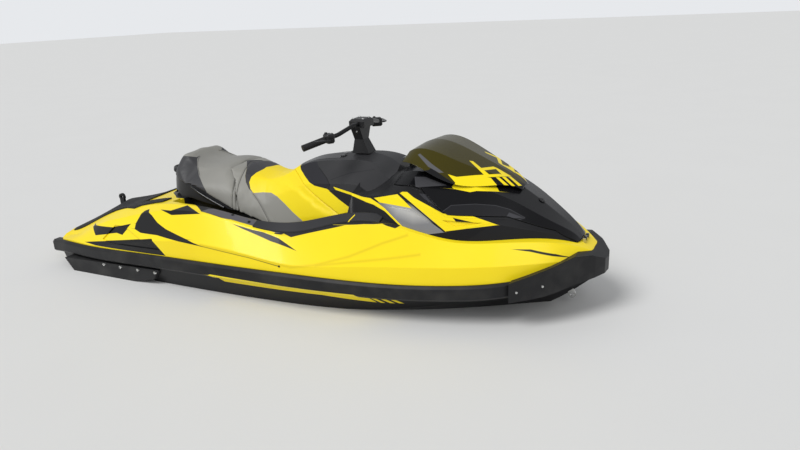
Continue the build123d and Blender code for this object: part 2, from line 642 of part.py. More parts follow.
def main():
    """Builds and writes every node."""
    craft = craft_loft()
    saddle = saddle_loft()
    front = front_loft()

    rear_pocket, rear_grille = grille_layers(REAR_GRILLE, craft, GRILLE_SET_BACK, REAR_GRILLE_DEPTH)
    hull = build_hull(craft)
    deck = build_deck(craft, rear_pocket)
    rail = bumper_rail(craft)
    rails = both_sides(rail)

    # Seat and console meet on a sloping face, so the seat draws out rearwards and up
    low_x, low_z = SEAT_FRONT_LOW
    top_x, top_z = SEAT_FRONT_TOP
    slope = (low_z - top_z) / (low_x - top_x)
    far_top = (top_x - 1400, top_z - 1400 * slope)
    console_zone = side_prism([far_top, SEAT_FRONT_LOW, (2400, low_z - 80), (2400, 1700), (far_top[0], 1700)],
                              -FAR, FAR)
    seat_side = region_below([(x, z - SEAT_FRONT_GAP) for x, z in (far_top, SEAT_FRONT_LOW)], FAR)
    carrier, seat_front, bolster, grab = build_seat(saddle, seat_side)
    console = (saddle & console_zone) - craft - front

    # Glovebox: lid cut from the console's top, tub below it, hinge at the lid's front edge
    lid_x = (GLOVE_X[0] + LID_GAP, GLOVE_X[1] - LID_GAP)
    lid_half = GLOVE_HALF - LID_GAP
    lid_well = block(GLOVE_X, (-GLOVE_HALF, GLOVE_HALF), (GLOVE_FLOOR, FAR))
    lid_well = lid_well - saddle.moved(Location((0, 0, -LID_T - SEAM)))
    lid_well = lid_well + block(TUB_X, (-TUB_HALF, TUB_HALF), (GLOVE_FLOOR, FAR))
    lid = saddle & block(lid_x, (-lid_half, lid_half), (GLOVE_FLOOR, FAR))
    lid = lid - saddle.moved(Location((0, 0, -LID_T)))
    hinge_x, hinge_z = LID_HINGE
    for y in LID_LUG_Y:
        reach = LID_LUG_W / 2
        lug = rod((hinge_x, y - reach, hinge_z), (hinge_x, y + reach, hinge_z), LID_LUG_R)
        lug = lug + block((lid_x[1] - 8, hinge_x), (y - reach, y + reach), (hinge_z - 5, hinge_z + 5))
        lid = lid + lug
        lid = lid - rod((hinge_x, y - 20, hinge_z), (hinge_x, y + 20, hinge_z), LID_PIN_R + RUN_FIT)
        space = block((GLOVE_X[1] - 2, hinge_x + LID_LUG_R + LID_NOTCH),
                      (y - reach - LID_NOTCH, y + reach + LID_NOTCH), (hinge_z - 18, 1200))
        console = console - space
        console = console + rod((hinge_x, y - reach - LID_NOTCH - 2, hinge_z),
                                (hinge_x, y + reach + LID_NOTCH + 2, hinge_z), LID_PIN_R)
    console = console - lid_well

    # Steering stem's bore, wide enough for the stem
    tilt = radians(COLUMN_TILT)
    foot_x, foot_z = COLUMN_FOOT
    bore_low = (foot_x + 80 * sin(tilt), 0, foot_z - 80 * cos(tilt))
    bore_high = (foot_x - 60 * sin(tilt), 0, foot_z + 60 * cos(tilt))
    console = console - rod(bore_low, bore_high, 18)

    # Hood, its deflector, and the cowl below the parting line
    hood_zone = region_above(HOOD_LINE, FAR)
    hollow = front_loft(SKIN) & block((HOOD_LINE[0][0] + SKIN, 3186), (-FAR, FAR), (0, FAR))
    hood = (front & hood_zone) - hollow
    pin_x, pin_z = HOOD_HINGE
    for y in HOOD_LUG_Y:
        reach = HOOD_LUG_W / 2
        hood = hood + rod((pin_x, y - reach, pin_z), (pin_x, y + reach, pin_z), HOOD_LUG_R)
        hood = hood + block((3184, pin_x), (y - reach, y + reach), (603, 610))
    hood = hood - craft.moved(Location((0, 0, CLEAR - 1)))
    hood = hood - rod((pin_x, -FAR, pin_z), (pin_x, FAR, pin_z), HOOD_PIN_R + RUN_FIT)
    cowl = front - region_above([(x, z - CLEAR / 2) for x, z in HOOD_LINE], FAR) - craft - locker_space()
    hinge = rod((pin_x, -HOOD_BASE_HALF, pin_z), (pin_x, HOOD_BASE_HALF, pin_z), HOOD_PIN_R)
    for y in (-HOOD_BASE_HALF + 3, 0, HOOD_BASE_HALF - 3):
        hinge = hinge + block((pin_x - 7, pin_x + 7), (y - HOOD_EAR_T / 2, y + HOOD_EAR_T / 2), (570, pin_z + 7))
    hinge = hinge - craft

    pocket, grille = grille_layers(GRILLE, front, GRILLE_SET_BACK, GRILLE_DEPTH)
    inner = front.moved(Location((0, FAIRING_DEPTH, 0)))
    fixed = front - craft
    panel = (side_prism(FAIRING_PANEL, -FAR, -200) & fixed) - inner
    band = (side_prism(FAIRING_BAND, -FAR, -200) & fixed) - inner
    band = band - panel - pocket
    for piece in both_sides(panel) + both_sides(band) + both_sides(grille) + both_sides(pocket):
        cowl = cowl - piece

    deflector = (deflector_loft() - deflector_loft(DEFLECTOR_SKIN)) - front
    for side in (-1, 1):
        deflector = deflector + (block((2420, 2500), sorted((side * 112, side * 124)), (900, 1100))
                                 & deflector_loft(DEFLECTOR_SKIN - 2) + block((2420, 2500), (-200, 200), (900, 980))) - front

    save("hull", hull)
    save("deck", deck)
    save("bumper_rails", rails)
    save("bow_bumper", bow_bumper(craft) - rails[0] - rails[1])
    save("rear_grilles", both_sides(rear_grille))
    save("console", console)
    save("glovebox_lid", lid)
    save("seat_carrier", carrier)
    save("seat_front", seat_front)
    save("seat_bolster", bolster)
    save("grab_handle", grab)
    save("hood", hood)
    save("hood_hinge", hinge)
    save("cowl", cowl)
    save("fairing_panels", both_sides(panel))
    save("fairing_bands", both_sides(band))
    save("fairing_grilles", both_sides(grille))
    save("wind_deflector", deflector)

    # Jet drive
    save("jet_pump", build_pump())
    save("steering_nozzle", build_nozzle())
    save("reverse_bucket", build_bucket())
    save("impeller", build_impeller())
    save("drive_shaft", rod((374, 0, PUMP_Z), (ENGINE_X[0] - SEAM, 0, PUMP_Z), SHAFT_R))
    save("ride_plate", ride_plate())
    save("intake_grate", intake_grate())

    # Inside
    engine = block(ENGINE_X, (-ENGINE_HALF, ENGINE_HALF), (BAY_FLOOR, 380))
    engine = engine + block((ENGINE_X[0] + 60, ENGINE_X[1] - 90), (-70, 90), (380, ENGINE_TOP))
    save("engine", engine)
    bin_box = block((BIN_X[0] + SEAM, BIN_X[1] - SEAM), (-BIN_HALF + SEAM, BIN_HALF - SEAM), (BIN_FLOOR, BIN_RIM))
    bin_hollow = block((BIN_X[0] + BIN_WALL, BIN_X[1] - BIN_WALL), (-BIN_HALF + BIN_WALL, BIN_HALF - BIN_WALL),
                       (BIN_FLOOR + BIN_WALL, FAR))
    save("locker_bin", bin_box - bin_hollow)

    # Steering
    riser, bar, grips, pods, levers, pad = build_steering()
    save("steering_riser", riser)
    save("handlebar", bar)
    save("grips", grips)
    save("switch_pods", pods)
    save("levers", levers)
    save("bar_pad", pad)

    # Gauge display, leaning back towards the rider
    gauge = side_prism([(GAUGE_X[0], 880), (GAUGE_X[0] + 44, GAUGE_TOP), (GAUGE_X[1], GAUGE_TOP), (GAUGE_X[1], 880)],
                       -GAUGE_HALF, GAUGE_HALF)
    save("gauge_display", gauge - console - cowl - front)

    # Sponsons
    sponson = side_prism(SPONSON, -SPONSON_Y[1], -SPONSON_Y[0]) - craft
    save("sponsons", both_sides(sponson))

    # Mats, trims
    raised = craft.moved(Location((0, 0, MAT)))
    mat = raised - craft
    mat_outline = [(70, -392), (560, -392), (700, -440), (900, -408), (900, -335), (660, -335), (640, 0),
                   (660, 335), (900, 335), (900, 408), (700, 440), (560, 392), (70, 392)]
    tow = eye(TOW_EYE[0], 0, TOW_EYE[1], TOW_EYE_OUT_R, TOW_EYE_R, TOW_EYE_T,
              (TOW_EYE[0], TOW_EYE_FOOT)) - craft
    save("rear_deck_mat", (mat & plan_prism(mat_outline, 300, 1000)) - tow)
    save("footwell_mats", both_sides(footwell_cut(0, MAT) & block((1110, 2060), (-FAR, 0), (0, FAR))))
    trim = (raised - craft) & plan_prism([(TRIM_X[0], -492), (TRIM_X[1], -458), (TRIM_X[1], -398),
                                          (TRIM_X[0], -452)], 500, 1000)
    save("gunwale_trims", both_sides(trim - front))
    ped = side_prism(PED_TRIM, -PEDESTAL_HALF - PED_TRIM_T, -PEDESTAL_HALF)
    under_top = region_below([(x, z - 3) for x, z in PEDESTAL_TOP], FAR)
    save("pedestal_trims", both_sides((ped & footwell_cut() & under_top) - footwell_cut(0, MAT)))

    # Eyes and plugs
    stem_x = BOW_EYE_X
    save("bow_eye", eye(stem_x, 0, 304, EYE_OUT_R, EYE_R, EYE_T, (stem_x - 12, 345)) - craft)
    stern = eye(STERN_EYE[0], -STERN_EYE_Y, STERN_EYE[1], 16, EYE_R, EYE_T, (60, STERN_EYE[1])) - craft
    save("stern_eyes", both_sides(stern))
    save("tow_eye", tow)
    plug = rod((40 - PLUG_OUT, -PLUG_Y, PLUG_Z), (40, -PLUG_Y, PLUG_Z), PLUG_R) - craft
    save("drain_plugs", both_sides(plug))


main()
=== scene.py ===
"""Looks of a straddle-seat personal watercraft: finishes, sewn seat, fittings, light and camera."""
import json
import logging
from dataclasses import dataclass, replace
from enum import Enum
from math import exp, hypot, pi, radians
from typing import Sequence

import bmesh
import bpy
from mathutils import Matrix, Vector
from mathutils.bvhtree import BVHTree
from mathutils.geometry import tessellate_polygon

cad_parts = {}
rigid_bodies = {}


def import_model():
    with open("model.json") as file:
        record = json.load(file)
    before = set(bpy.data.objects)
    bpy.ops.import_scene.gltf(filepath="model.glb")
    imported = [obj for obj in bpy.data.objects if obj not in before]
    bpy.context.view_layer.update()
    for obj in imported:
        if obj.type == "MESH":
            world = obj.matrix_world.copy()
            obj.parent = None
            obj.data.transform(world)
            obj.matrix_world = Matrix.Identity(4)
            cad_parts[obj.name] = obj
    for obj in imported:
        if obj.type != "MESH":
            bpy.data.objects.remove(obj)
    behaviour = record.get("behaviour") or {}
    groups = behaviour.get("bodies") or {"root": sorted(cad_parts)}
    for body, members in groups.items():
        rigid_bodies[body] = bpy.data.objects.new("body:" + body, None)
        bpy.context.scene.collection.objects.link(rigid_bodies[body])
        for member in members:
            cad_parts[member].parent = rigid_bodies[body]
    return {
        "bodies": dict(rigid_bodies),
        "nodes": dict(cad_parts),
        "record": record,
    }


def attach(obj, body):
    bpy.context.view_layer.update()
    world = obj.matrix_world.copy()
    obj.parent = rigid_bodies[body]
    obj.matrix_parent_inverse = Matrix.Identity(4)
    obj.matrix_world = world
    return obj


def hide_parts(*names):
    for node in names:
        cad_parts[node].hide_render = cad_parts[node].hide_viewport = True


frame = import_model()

LOG = logging.getLogger("watercraft")

Colour = tuple[float, float, float]
Spot = tuple[float, float]
Place = tuple[float, float, float]
Ray = tuple[Place, Place]

# Lengths are in metres, creases in degrees, and the head's other numbers are shares of its size.
WELD = 1e-5
BOTH_SIDES = (-1, 1)
DOWN: Place = (0.0, 0.0, -1.0)
STRAIGHT = 1e-9
SLIMMEST = 0.003
BEYOND_FADE = 0.004
FAR_SIDE = 2.0
HEAD_SINK = 0.0008
HEAD_TAPER = 0.78
HEAD_RIM = 0.3
HEAD_WALL = 0.04
HEAD_HOLLOW = 0.5
HEAD_CREASE = 35.0
ROD_CREASE = 50.0
ROD_ROUNDNESS = 3
ROD_STEPS = 6

# Textures: the start and gain of each spread, the detail of noise, and shares of finer noise.
DRIFT_START, DRIFT_GAIN, DRIFT_DETAIL = 0.35, 3.0, 4.0
DUST_START, DUST_GAIN, DUST_SCALE, DUST_DETAIL, DUST_DULLING = 0.45, 3.0, 9.0, 6.0, 0.3
LEVEL_START, LEVEL_GAIN = -0.15, 10.0
# Painted shade: hollows of grooves and honeycomb are darkened to this share of the colour, with this gain.
HOLLOW_PAINTED_SHADE, HOLLOW_GAIN = 0.35, 1.6
PEBBLE_GAIN, PEBBLE_FINE = 1.3, 0.3
GROOVE_SLANT, GROOVE_FINE = 0.6, 900.0
WALL_GAIN = 7.0
FINE_SHARE, FINE_DETAIL = 0.2, 2.0
CAST_DETAIL = 6.0
BRUSH_DETAIL = 4.0
BRUSH_STRETCH: Place = (0.04, 1.0, 1.0)
EDGE_SAMPLES = 4
COAT_ROUGHNESS = 0.06

YELLOW: Colour = (0.94, 0.74, 0.012)
YELLOW_DEEP: Colour = (0.92, 0.70, 0.010)
# painted shade: a darker yellow that stands in for the shade along the deck's creases
CREASE_PAINTED_SHADE: Colour = (0.76, 0.57, 0.010)
YELLOW_CREASE: Colour = (0.10, 0.075, 0.008)
BLACK: Colour = (0.006, 0.006, 0.007)
SOFT_BLACK: Colour = (0.013, 0.013, 0.014)
FAIRING_BLACK: Colour = (0.009, 0.009, 0.010)
CONSOLE_TOP: Colour = (0.016, 0.016, 0.020)
CONSOLE_LOWER: Colour = (0.012, 0.012, 0.014)
CONSOLE_CREASE: Colour = (0.018, 0.018, 0.020)
RECESS_BLACK: Colour = (0.035, 0.035, 0.04)
LENS_BLACK: Colour = (0.014, 0.014, 0.016)
# painted highlight along the border of the hood's lens
LENS_RIM_PAINTED_HIGHLIGHT: Colour = (0.060, 0.060, 0.066)
LENS_TIP: Colour = (0.050, 0.050, 0.056)
HOOD_SHOULDER: Colour = (0.055, 0.055, 0.06)
# painted reflection: grey for the sky reflected on the deflector's rear top edge
SCREEN_LIP_PAINTED_REFLECTION: Colour = (0.10, 0.10, 0.105)
SILL_GREY: Colour = (0.095, 0.092, 0.105)
MOUSE_GREY: Colour = (0.27, 0.265, 0.24)
MOUSE_DEEP: Colour = (0.235, 0.23, 0.212)
DARK_VINYL: Colour = (0.040, 0.040, 0.044)
DARK_BACK: Colour = (0.04, 0.04, 0.043)
SEAM: Colour = (0.09, 0.088, 0.08)
DUST: Colour = (0.20, 0.195, 0.18)
SILVER: Colour = (0.26, 0.26, 0.27)
# painted highlight: a pale silver that stands in for the light on the silver panel
PAINTED_HIGHLIGHT_SILVER: Colour = (0.62, 0.61, 0.58)


def grey(level: float, blue: float = 0.001) -> Colour:
    """A near neutral colour with a trace more blue."""
    return level, level, level + blue


def clear_start_file() -> None:
    """Removes what the empty start file holds besides the frame."""
    kept = set(frame["nodes"].values()) | set(frame["bodies"].values())
    for leftover in [item for item in bpy.data.objects if item not in kept]:
        bpy.data.objects.remove(leftover)


class Level:
    """A number that varies over a surface, with the sums that a finish needs."""

    def __init__(self, graph: "Graph", socket: bpy.types.NodeSocket) -> None:
        """Keeps the graph and the output socket.

        Args:
            graph: The finish's node tree.
            socket: The output that carries the number.
        """
        self.graph = graph
        self.socket = socket

    def _sum(self, operation: str, first: object, second: object = 0.0, clamp: bool = False) -> "Level":
        """Adds one Math node and returns its result."""
        return self.graph.level("ShaderNodeMath", {"operation": operation, "use_clamp": clamp},
                                {0: first, 1: second})

    def __add__(self, other: object) -> "Level":
        """Adds."""
        return self._sum("ADD", self, other)

    def __radd__(self, other: object) -> "Level":
        """Adds from the right."""
        return self._sum("ADD", other, self)

    def __sub__(self, other: object) -> "Level":
        """Takes away."""
        return self._sum("SUBTRACT", self, other)

    def __rsub__(self, other: object) -> "Level":
        """Takes this from a number."""
        return self._sum("SUBTRACT", other, self)

    def __mul__(self, other: object) -> "Level":
        """Multiplies."""
        return self._sum("MULTIPLY", self, other)

    def __truediv__(self, other: object) -> "Level":
        """Divides."""
        return self._sum("DIVIDE", self, other)

    def __abs__(self) -> "Level":
        """Drops the sign."""
        return self._sum("ABSOLUTE", self)

    def least(self, other: object) -> "Level":
        """The smaller of two."""
        return self._sum("MINIMUM", self, other)

    def most(self, other: object) -> "Level":
        """The larger of two."""
        return self._sum("MAXIMUM", self, other)

    def sine(self) -> "Level":
        """Sine of an angle in radians."""
        return self._sum("SINE", self)

    def clamped(self) -> "Level":
        """Held between 0 and 1."""
        return self._sum("ADD", self, 0.0, clamp=True)

    def spread(self, start: float, gain: float) -> "Level":
        """Zero up to a start, from there rising to 1."""
        return ((self - start) * gain).clamped()

    def roughened(self, fine: "Level") -> "Level":
        """With a share of finer noise."""
        return self * (1.0 - FINE_SHARE) + fine * FINE_SHARE


class Graph:
    """A node tree, with one way to add a node."""

    def __init__(self, tree: bpy.types.NodeTree) -> None:
        """Empties a tree.

        Args:
            tree: The tree of a material or of the world.
        """
        self.tree = tree
        self.tree.nodes.clear()

    def add(self, kind: str, settings: dict | None = None, inputs: dict | None = None) -> bpy.types.Node:
        """Adds a node, sets it, then feeds its sockets.

        Args:
            kind: The node's type.
            settings: Its own settings.
            inputs: Socket by name or number, with a value, a Level or an output socket.

        Returns:
            The node.
        """
        node = self.tree.nodes.new(kind)
        for key, value in (settings or {}).items():
            setattr(node, key, value)
        for key, value in (inputs or {}).items():
            if isinstance(value, Level):
                self.tree.links.new(value.socket, node.inputs[key])
            elif isinstance(value, bpy.types.NodeSocket):
                self.tree.links.new(value, node.inputs[key])
            else:
                node.inputs[key].default_value = value
        return node

    def level(self, kind: str, settings: dict, inputs: dict, output: int | str = 0) -> Level:
        """Adds a node and wraps one of its outputs."""
        return Level(self, self.add(kind, settings, inputs).outputs[output])


class Surface(Graph):
    """A material's node tree, with the few forms that finishes share."""

    def __init__(self, name: str) -> None:
        """Starts an empty material.

        Args:
            name: The material's name.
        """
        self.material = bpy.data.materials.new(name)
        self.material.use_nodes = True
        super().__init__(self.material.node_tree)
        self.spots = self.add("ShaderNodeTexCoord").outputs
        self.place = self.spots["Object"]
        parts = self.add("ShaderNodeSeparateXYZ", {}, {0: self.place})
        self.x, self.y, self.z = [Level(self, parts.outputs[axis]) for axis in "XYZ"]
        self.side = abs(self.y)
        self.folded = self.add("ShaderNodeCombineXYZ", {},
                               {"X": self.x, "Y": self.side, "Z": self.z}).outputs[0]

    def skyward(self) -> Level:
        """One where the surface looks up or sideways, fading to zero where it looks down."""
        lean = self.add("ShaderNodeSeparateXYZ", {}, {0: self.spots["Normal"]})
        return Level(self, lean.outputs["Z"]).spread(LEVEL_START, LEVEL_GAIN)

    def noise(self, scale: float, detail: float, stretch: Place = (1.0, 1.0, 1.0)) -> Level:
        """Soft noise between 0 and 1.

        Args:
            scale: Blotches per metre.
            detail: Layers of finer noise.
            stretch: Scale along each axis.

        Returns:
            The noise.
        """
        place = self.add("ShaderNodeMapping", {}, {"Vector": self.place, "Scale": stretch}).outputs[0]
        return self.level("ShaderNodeTexNoise", {},
                          {"Vector": place, "Scale": scale, "Detail": detail}, "Fac")

    def cells(self, scale: float, feature: str = "F1") -> Level:
        """Distance to the nearest cell centre, or to the nearest cell edge."""
        return self.level("ShaderNodeTexVoronoi", {"feature": feature},
                          {"Vector": self.place, "Scale": scale}, "Distance")

    def mix(self, share: Level, first: object, second: object) -> bpy.types.NodeSocket:
        """Mixes two colours.

        Args:
            share: How much of the second, between 0 and 1.
            first: A colour or an output socket.
            second: A colour or an output socket.

        Returns:
            The mixed colour.
        """
        pair = [(*colour, 1.0) if isinstance(colour, tuple) else colour for colour in (first, second)]
        node = self.add("ShaderNodeMix", {"data_type": "RGBA"}, {0: share, 6: pair[0], 7: pair[1]})
        return node.outputs[2]

    def normal(self, height: Level, depth: float, rounded: float) -> bpy.types.NodeSocket:
        """Bump from a height between 0 and 1, over edges that catch light as if they were rounded.

        Args:
            height: The relief.
            depth: Its depth in metres.
            rounded: Radius of the rounded edges in metres.

        Returns:
            The normal.
        """
        sockets = {"Height": height, "Distance": depth}
        if rounded:
            soft = self.add("ShaderNodeBevel", {"samples": EDGE_SAMPLES}, {"Radius": rounded})
            sockets["Normal"] = soft.outputs[0]
        return self.add("ShaderNodeBump", {}, sockets).outputs[0]

    def finish(self, sockets: dict) -> bpy.types.Material:
        """Ends the material with one shader.

        Args:
            sockets: The shader's sockets by name, with values, levels or output sockets.

        Returns:
            The material.
        """
        shader = self.add("ShaderNodeBsdfPrincipled", {}, sockets)
        self.add("ShaderNodeOutputMaterial", {}, {0: shader.outputs[0]})
        return self.material


class Grain(Enum):
    """How a surface is textured."""

    SMOOTH = "smooth"
    PEBBLED = "pebbled"
    BRUSHED = "brushed"
    CAST = "cast"
    GROOVED = "grooved"
    HONEYCOMB = "honeycomb"


class Plane(Enum):
    """The view in which a patch is outlined. Both sides of the craft share it."""

    SIDE = "side"
    PLAN = "plan"


Part = tuple[tuple[Spot, ...], tuple[bool, ...]]


def turned_left(corners: Sequence[Spot]) -> tuple[Spot, ...]:
    """The outline's corners in anticlockwise order."""
    area = sum(a[0] * b[1] - b[0] * a[1] for a, b in zip(corners, [*corners[1:], corners[0]]))
    return tuple(corners) if area > 0 else tuple(reversed(corners))


def bulges(corners: Sequence[Spot]) -> bool:
    """Tells whether an outline has no hollow corner.

    Args:
        corners: The corners in anticlockwise order.

    Returns:
        True for a convex outline.
    """
    count = len(corners)
    for at in range(count):
        (ax, az), (bx, bz), (cx, cz) = corners[at], corners[(at + 1) % count], corners[(at + 2) % count]
        if (bx - ax) * (cz - bz) - (bz - az) * (cx - bx) < -STRAIGHT:
            return False
    return True


def slim(corners: Sequence[Spot]) -> bool:
    """Tells whether a triangle is too thin to matter.

    Args:
        corners: Its three corners.

    Returns:
        True where its least height is below the slimmest that is painted.
    """
    (ax, az), (bx, bz), (cx, cz) = corners
    sides = [hypot(bx - ax, bz - az), hypot(cx - bx, cz - bz), hypot(ax - cx, az - cz)]
    return abs((bx - ax) * (cz - az) - (bz - az) * (cx - ax)) / max(sides) < SLIMMEST


def area_parts(outline: Sequence[Spot]) -> list[Part]:
    """Splits an outline into convex parts.

    Args:
        outline: Corners in order.

    Returns:
        Each part's corners, and for each of its edges whether the edge is a cut inside the outline.
    """
    ring = turned_left(outline)
    if bulges(ring):
        return [(ring, (False,) * len(ring))]
    count = len(ring)
    parts = []
    for trio in tessellate_polygon([[Vector((x, z, 0.0)) for x, z in ring]]):
        corners = turned_left([ring[index] for index in trio])
        if slim(corners):
            continue
        order = [ring.index(corner) for corner in corners]
        pairs = zip(order, [*order[1:], order[0]])
        parts.append((corners, tuple((b - a) % count not in (1, count - 1) for a, b in pairs)))
    return parts


def line_parts(points: Sequence[Spot], width: float) -> list[Part]:
    """Lays a bar along each run of a line.

    Args:
        points: The line's points in order.
        width: The bars' width.

    Returns:
        Each bar's corners, and for each of its edges whether it is a cut inside the line.
    """
    parts = []
    runs = list(zip(points, points[1:]))
    for number, ((ax, az), (bx, bz)) in enumerate(runs):
        length = hypot(bx - ax, bz - az)
        dx, dz = -(bz - az) / length * width / 2, (bx - ax) / length * width / 2
        bar = ((ax - dx, az - dz), (bx - dx, bz - dz), (bx + dx, bz + dz), (ax + dx, az + dz))
        parts.append((bar, (False, number < len(runs) - 1, False, number > 0)))
    return parts


@dataclass(frozen=True)
class Patch:
    """A painted area or line, outlined in one view and the same on both sides.

    In the side view a point stands at x and z, each moved by the lean times its distance from the
    middle plane, so that outlines may be drawn as they are seen along a slanting line of sight.
    A width makes the outline a line, soft is the width of the edge, and beyond is the distance from
    the middle plane at which the patch starts.
    """

    colour: Colour
    outline: tuple[Spot, ...]
    lean: Spot = (0.0, 0.0)
    plane: Plane = Plane.SIDE
    width: float = 0.0
    soft: float = 0.0012
    roughness: float | None = None
    metallic: float | None = None
    beyond: float = 0.0

    def edge(self, surface: Surface, start: Spot, end: Spot) -> Level:
        """Measures how far inside one edge of an anticlockwise part a point lies.

        Args:
            surface: The finish's node tree.
            start: The edge's first corner.
            end: Its second corner.

        Returns:
            The depth in metres, below zero outside.
        """
        length = hypot(end[0] - start[0], end[1] - start[1])
        across = (-(end[1] - start[1]) / length, (end[0] - start[0]) / length)
        if self.plane is Plane.PLAN:
            slope = (across[0], across[1], 0.0)
        else:
            slope = (across[0], across[0] * self.lean[0] + across[1] * self.lean[1], across[1])
        reach = surface.level("ShaderNodeVectorMath", {"operation": "DOT_PRODUCT"},
                              {0: surface.folded, 1: slope}, "Value")
        return reach - (start[0] * across[0] + start[1] * across[1])

    def mask(self, surface: Surface) -> Level:
        """Joins the parts of the patch.

        Args:
            surface: The finish's node tree.

        Returns:
            One on the patch and zero off it.
        """
        whole = None
        parts = line_parts(self.outline, self.width) if self.width else area_parts(self.outline)
        for corners, cuts in parts:
            inner = None
            for start, end, cut in zip(corners, [*corners[1:], corners[0]], cuts):
                depth = self.edge(surface, start, end) + (self.soft * 0.5 if cut else 0.0)
                inner = depth if inner is None else inner.least(depth)
            share = (inner / self.soft + 0.5).clamped()
            whole = share if whole is None else whole.most(share)
        if self.beyond:
            whole = whole * ((surface.side - self.beyond) / BEYOND_FADE).clamped()
        return whole


@dataclass(frozen=True)
class Finish:
    """A surface finish: two near colours in soft blotches, a texture, a gloss and painted patches.

    Pitch and depth are the texture's, and rounded is the radius of softened edges, in metres. Blotch
    counts the colour's blotches in a metre. Outer_only keeps patches off surfaces that look down.
    """

    name: str
    colour: Colour
    second: Colour
    roughness: float
    uneven: float = 0.08
    metallic: float = 0.0
    coat: float = 0.0
    specular: float = 0.5
    grain: Grain = Grain.SMOOTH
    pitch: float = 0.0012
    depth: float = 0.0001
    blotch: float = 3.0
    dust: float = 0.0
    rounded: float = 0.003
    patches: tuple[Patch, ...] = ()
    outer_only: bool = False

    def height(self, surface: Surface) -> Level:
        """Makes the texture's relief.

        Args:
            surface: The finish's node tree.

        Returns:
            The height between 0 and 1.
        """
        scale = 1.0 / self.pitch
        if self.grain is Grain.PEBBLED:
            pebbles = (surface.cells(scale) * PEBBLE_GAIN).least(1.0)
            return pebbles.roughened(surface.noise(scale * PEBBLE_FINE, FINE_DETAIL))
        if self.grain is Grain.BRUSHED:
            return surface.noise(scale, BRUSH_DETAIL, BRUSH_STRETCH)
        if self.grain is Grain.CAST:
            return surface.noise(scale, CAST_DETAIL)
        if self.grain is Grain.GROOVED:
            slant = (surface.x + surface.y * GROOVE_SLANT) * (2 * pi * scale)
            other = (surface.x - surface.y * GROOVE_SLANT) * (2 * pi * scale)
            grooves = slant.sine().most(other.sine()) * 0.5 + 0.5
            return grooves.roughened(surface.noise(GROOVE_FINE, FINE_DETAIL))
        if self.grain is Grain.HONEYCOMB:
            return (surface.cells(scale, "DISTANCE_TO_EDGE") * WALL_GAIN).least(1.0)
        return surface.noise(scale, FINE_DETAIL)

    def build(self) -> bpy.types.Material:
        """Makes the material.

        Returns:
            The material, named after the finish.
        """
        surface = Surface(self.name)
        drift = surface.noise(self.blotch, DRIFT_DETAIL)
        colour = surface.mix(drift.spread(DRIFT_START, DRIFT_GAIN), self.colour, self.second)
        roughness = drift * self.uneven + (self.roughness - self.uneven / 2)
        metallic: float | Level = self.metallic
        outside = surface.skyward() if self.outer_only else None
        for patch in self.patches:
            mask = patch.mask(surface) if outside is None else patch.mask(surface) * outside
            colour = surface.mix(mask, colour, patch.colour)
            if patch.roughness is not None:
                roughness = roughness + mask * (patch.roughness - roughness)
            if patch.metallic is not None:
                metallic = metallic + mask * (patch.metallic - metallic)
        if self.dust:
            film = surface.noise(DUST_SCALE, DUST_DETAIL).spread(DUST_START, DUST_GAIN) * self.dust
            colour = surface.mix(film, colour, DUST)
            roughness = roughness + film * DUST_DULLING
        height = self.height(surface)
        # Painted shade: the colour darkens towards the bottom of grooves and honeycomb cells.
        if self.grain in (Grain.GROOVED, Grain.HONEYCOMB):
            low = tuple(part * HOLLOW_PAINTED_SHADE for part in self.colour)
            colour = surface.mix((height * HOLLOW_GAIN).clamped(), low, colour)
        return surface.finish({"Base Color": colour, "Roughness": roughness.clamped(),
                               "Metallic": metallic, "Specular IOR Level": self.specular,
                               "Coat Weight": self.coat, "Coat Roughness": COAT_ROUGHNESS,
                               "Normal": surface.normal(height, self.depth, self.rounded)})


# Leans of the side view, one for each part of the craft.
SEAT_LEAN: Spot = (-0.83, -0.326)
WAIST_LEAN: Spot = (-0.55, -0.32)
CONSOLE_LEAN: Spot = (-0.6, -0.32)
FLANK_LEAN: Spot = (-0.5, -0.31)
HOOD_LEAN: Spot = (-0.37, -0.315)
SCREEN_LEAN: Spot = (-0.39, -0.266)

# Saddle: colour fields, seams and the rear pad's piping.
DARK_TOP = ((-0.442, 0.70), (-0.30, 0.70), (-0.30, 0.60), (-0.336, 0.577), (-0.396, 0.548), (-0.436, 0.519),
            (-0.455, 0.486), (-0.452, 0.447), (-0.435, 0.424), (-0.464, 0.446), (-0.479, 0.484),
            (-0.479, 0.523), (-0.461, 0.571))
GREY_REAR = ((-0.442, 0.602), (-0.461, 0.571), (-0.479, 0.523), (-0.479, 0.484), (-0.464, 0.446),
             (-0.435, 0.424), (-0.406, 0.378), (-0.377, 0.323), (-0.337, 0.238), (-0.30, 0.05),
             (-1.30, 0.05), (-1.30, 0.75), (-0.442, 0.75))
GREY_FLANK = ((-0.435, 0.424), (-0.366, 0.434), (-0.308, 0.436), (-0.272, 0.418), (-0.227, 0.381),
              (-0.179, 0.336), (-0.132, 0.300), (-0.06, 0.240), (-0.06, 0.05), (-0.31, 0.05),
              (-0.337, 0.238), (-0.377, 0.323), (-0.406, 0.378))
SEAM_FRONT = ((-0.435, 0.419), (-0.406, 0.378), (-0.377, 0.323), (-0.337, 0.238), (-0.320, 0.180))
SEAM_FIRST = ((-0.430, 0.640), (-0.465, 0.607), (-0.499, 0.567), (-0.527, 0.526), (-0.555, 0.481),
              (-0.577, 0.427), (-0.590, 0.379), (-0.597, 0.332), (-0.600, 0.270))
SEAM_SECOND = ((-0.402, 0.634), (-0.436, 0.602), (-0.472, 0.564), (-0.506, 0.514), (-0.533, 0.465),
               (-0.553, 0.412), (-0.565, 0.363), (-0.572, 0.316), (-0.575, 0.270))
PIPING = ((-0.811, 0.627), (-0.827, 0.603), (-0.829, 0.554), (-0.819, 0.498), (-0.794, 0.445),
          (-0.767, 0.397), (-0.735, 0.350))
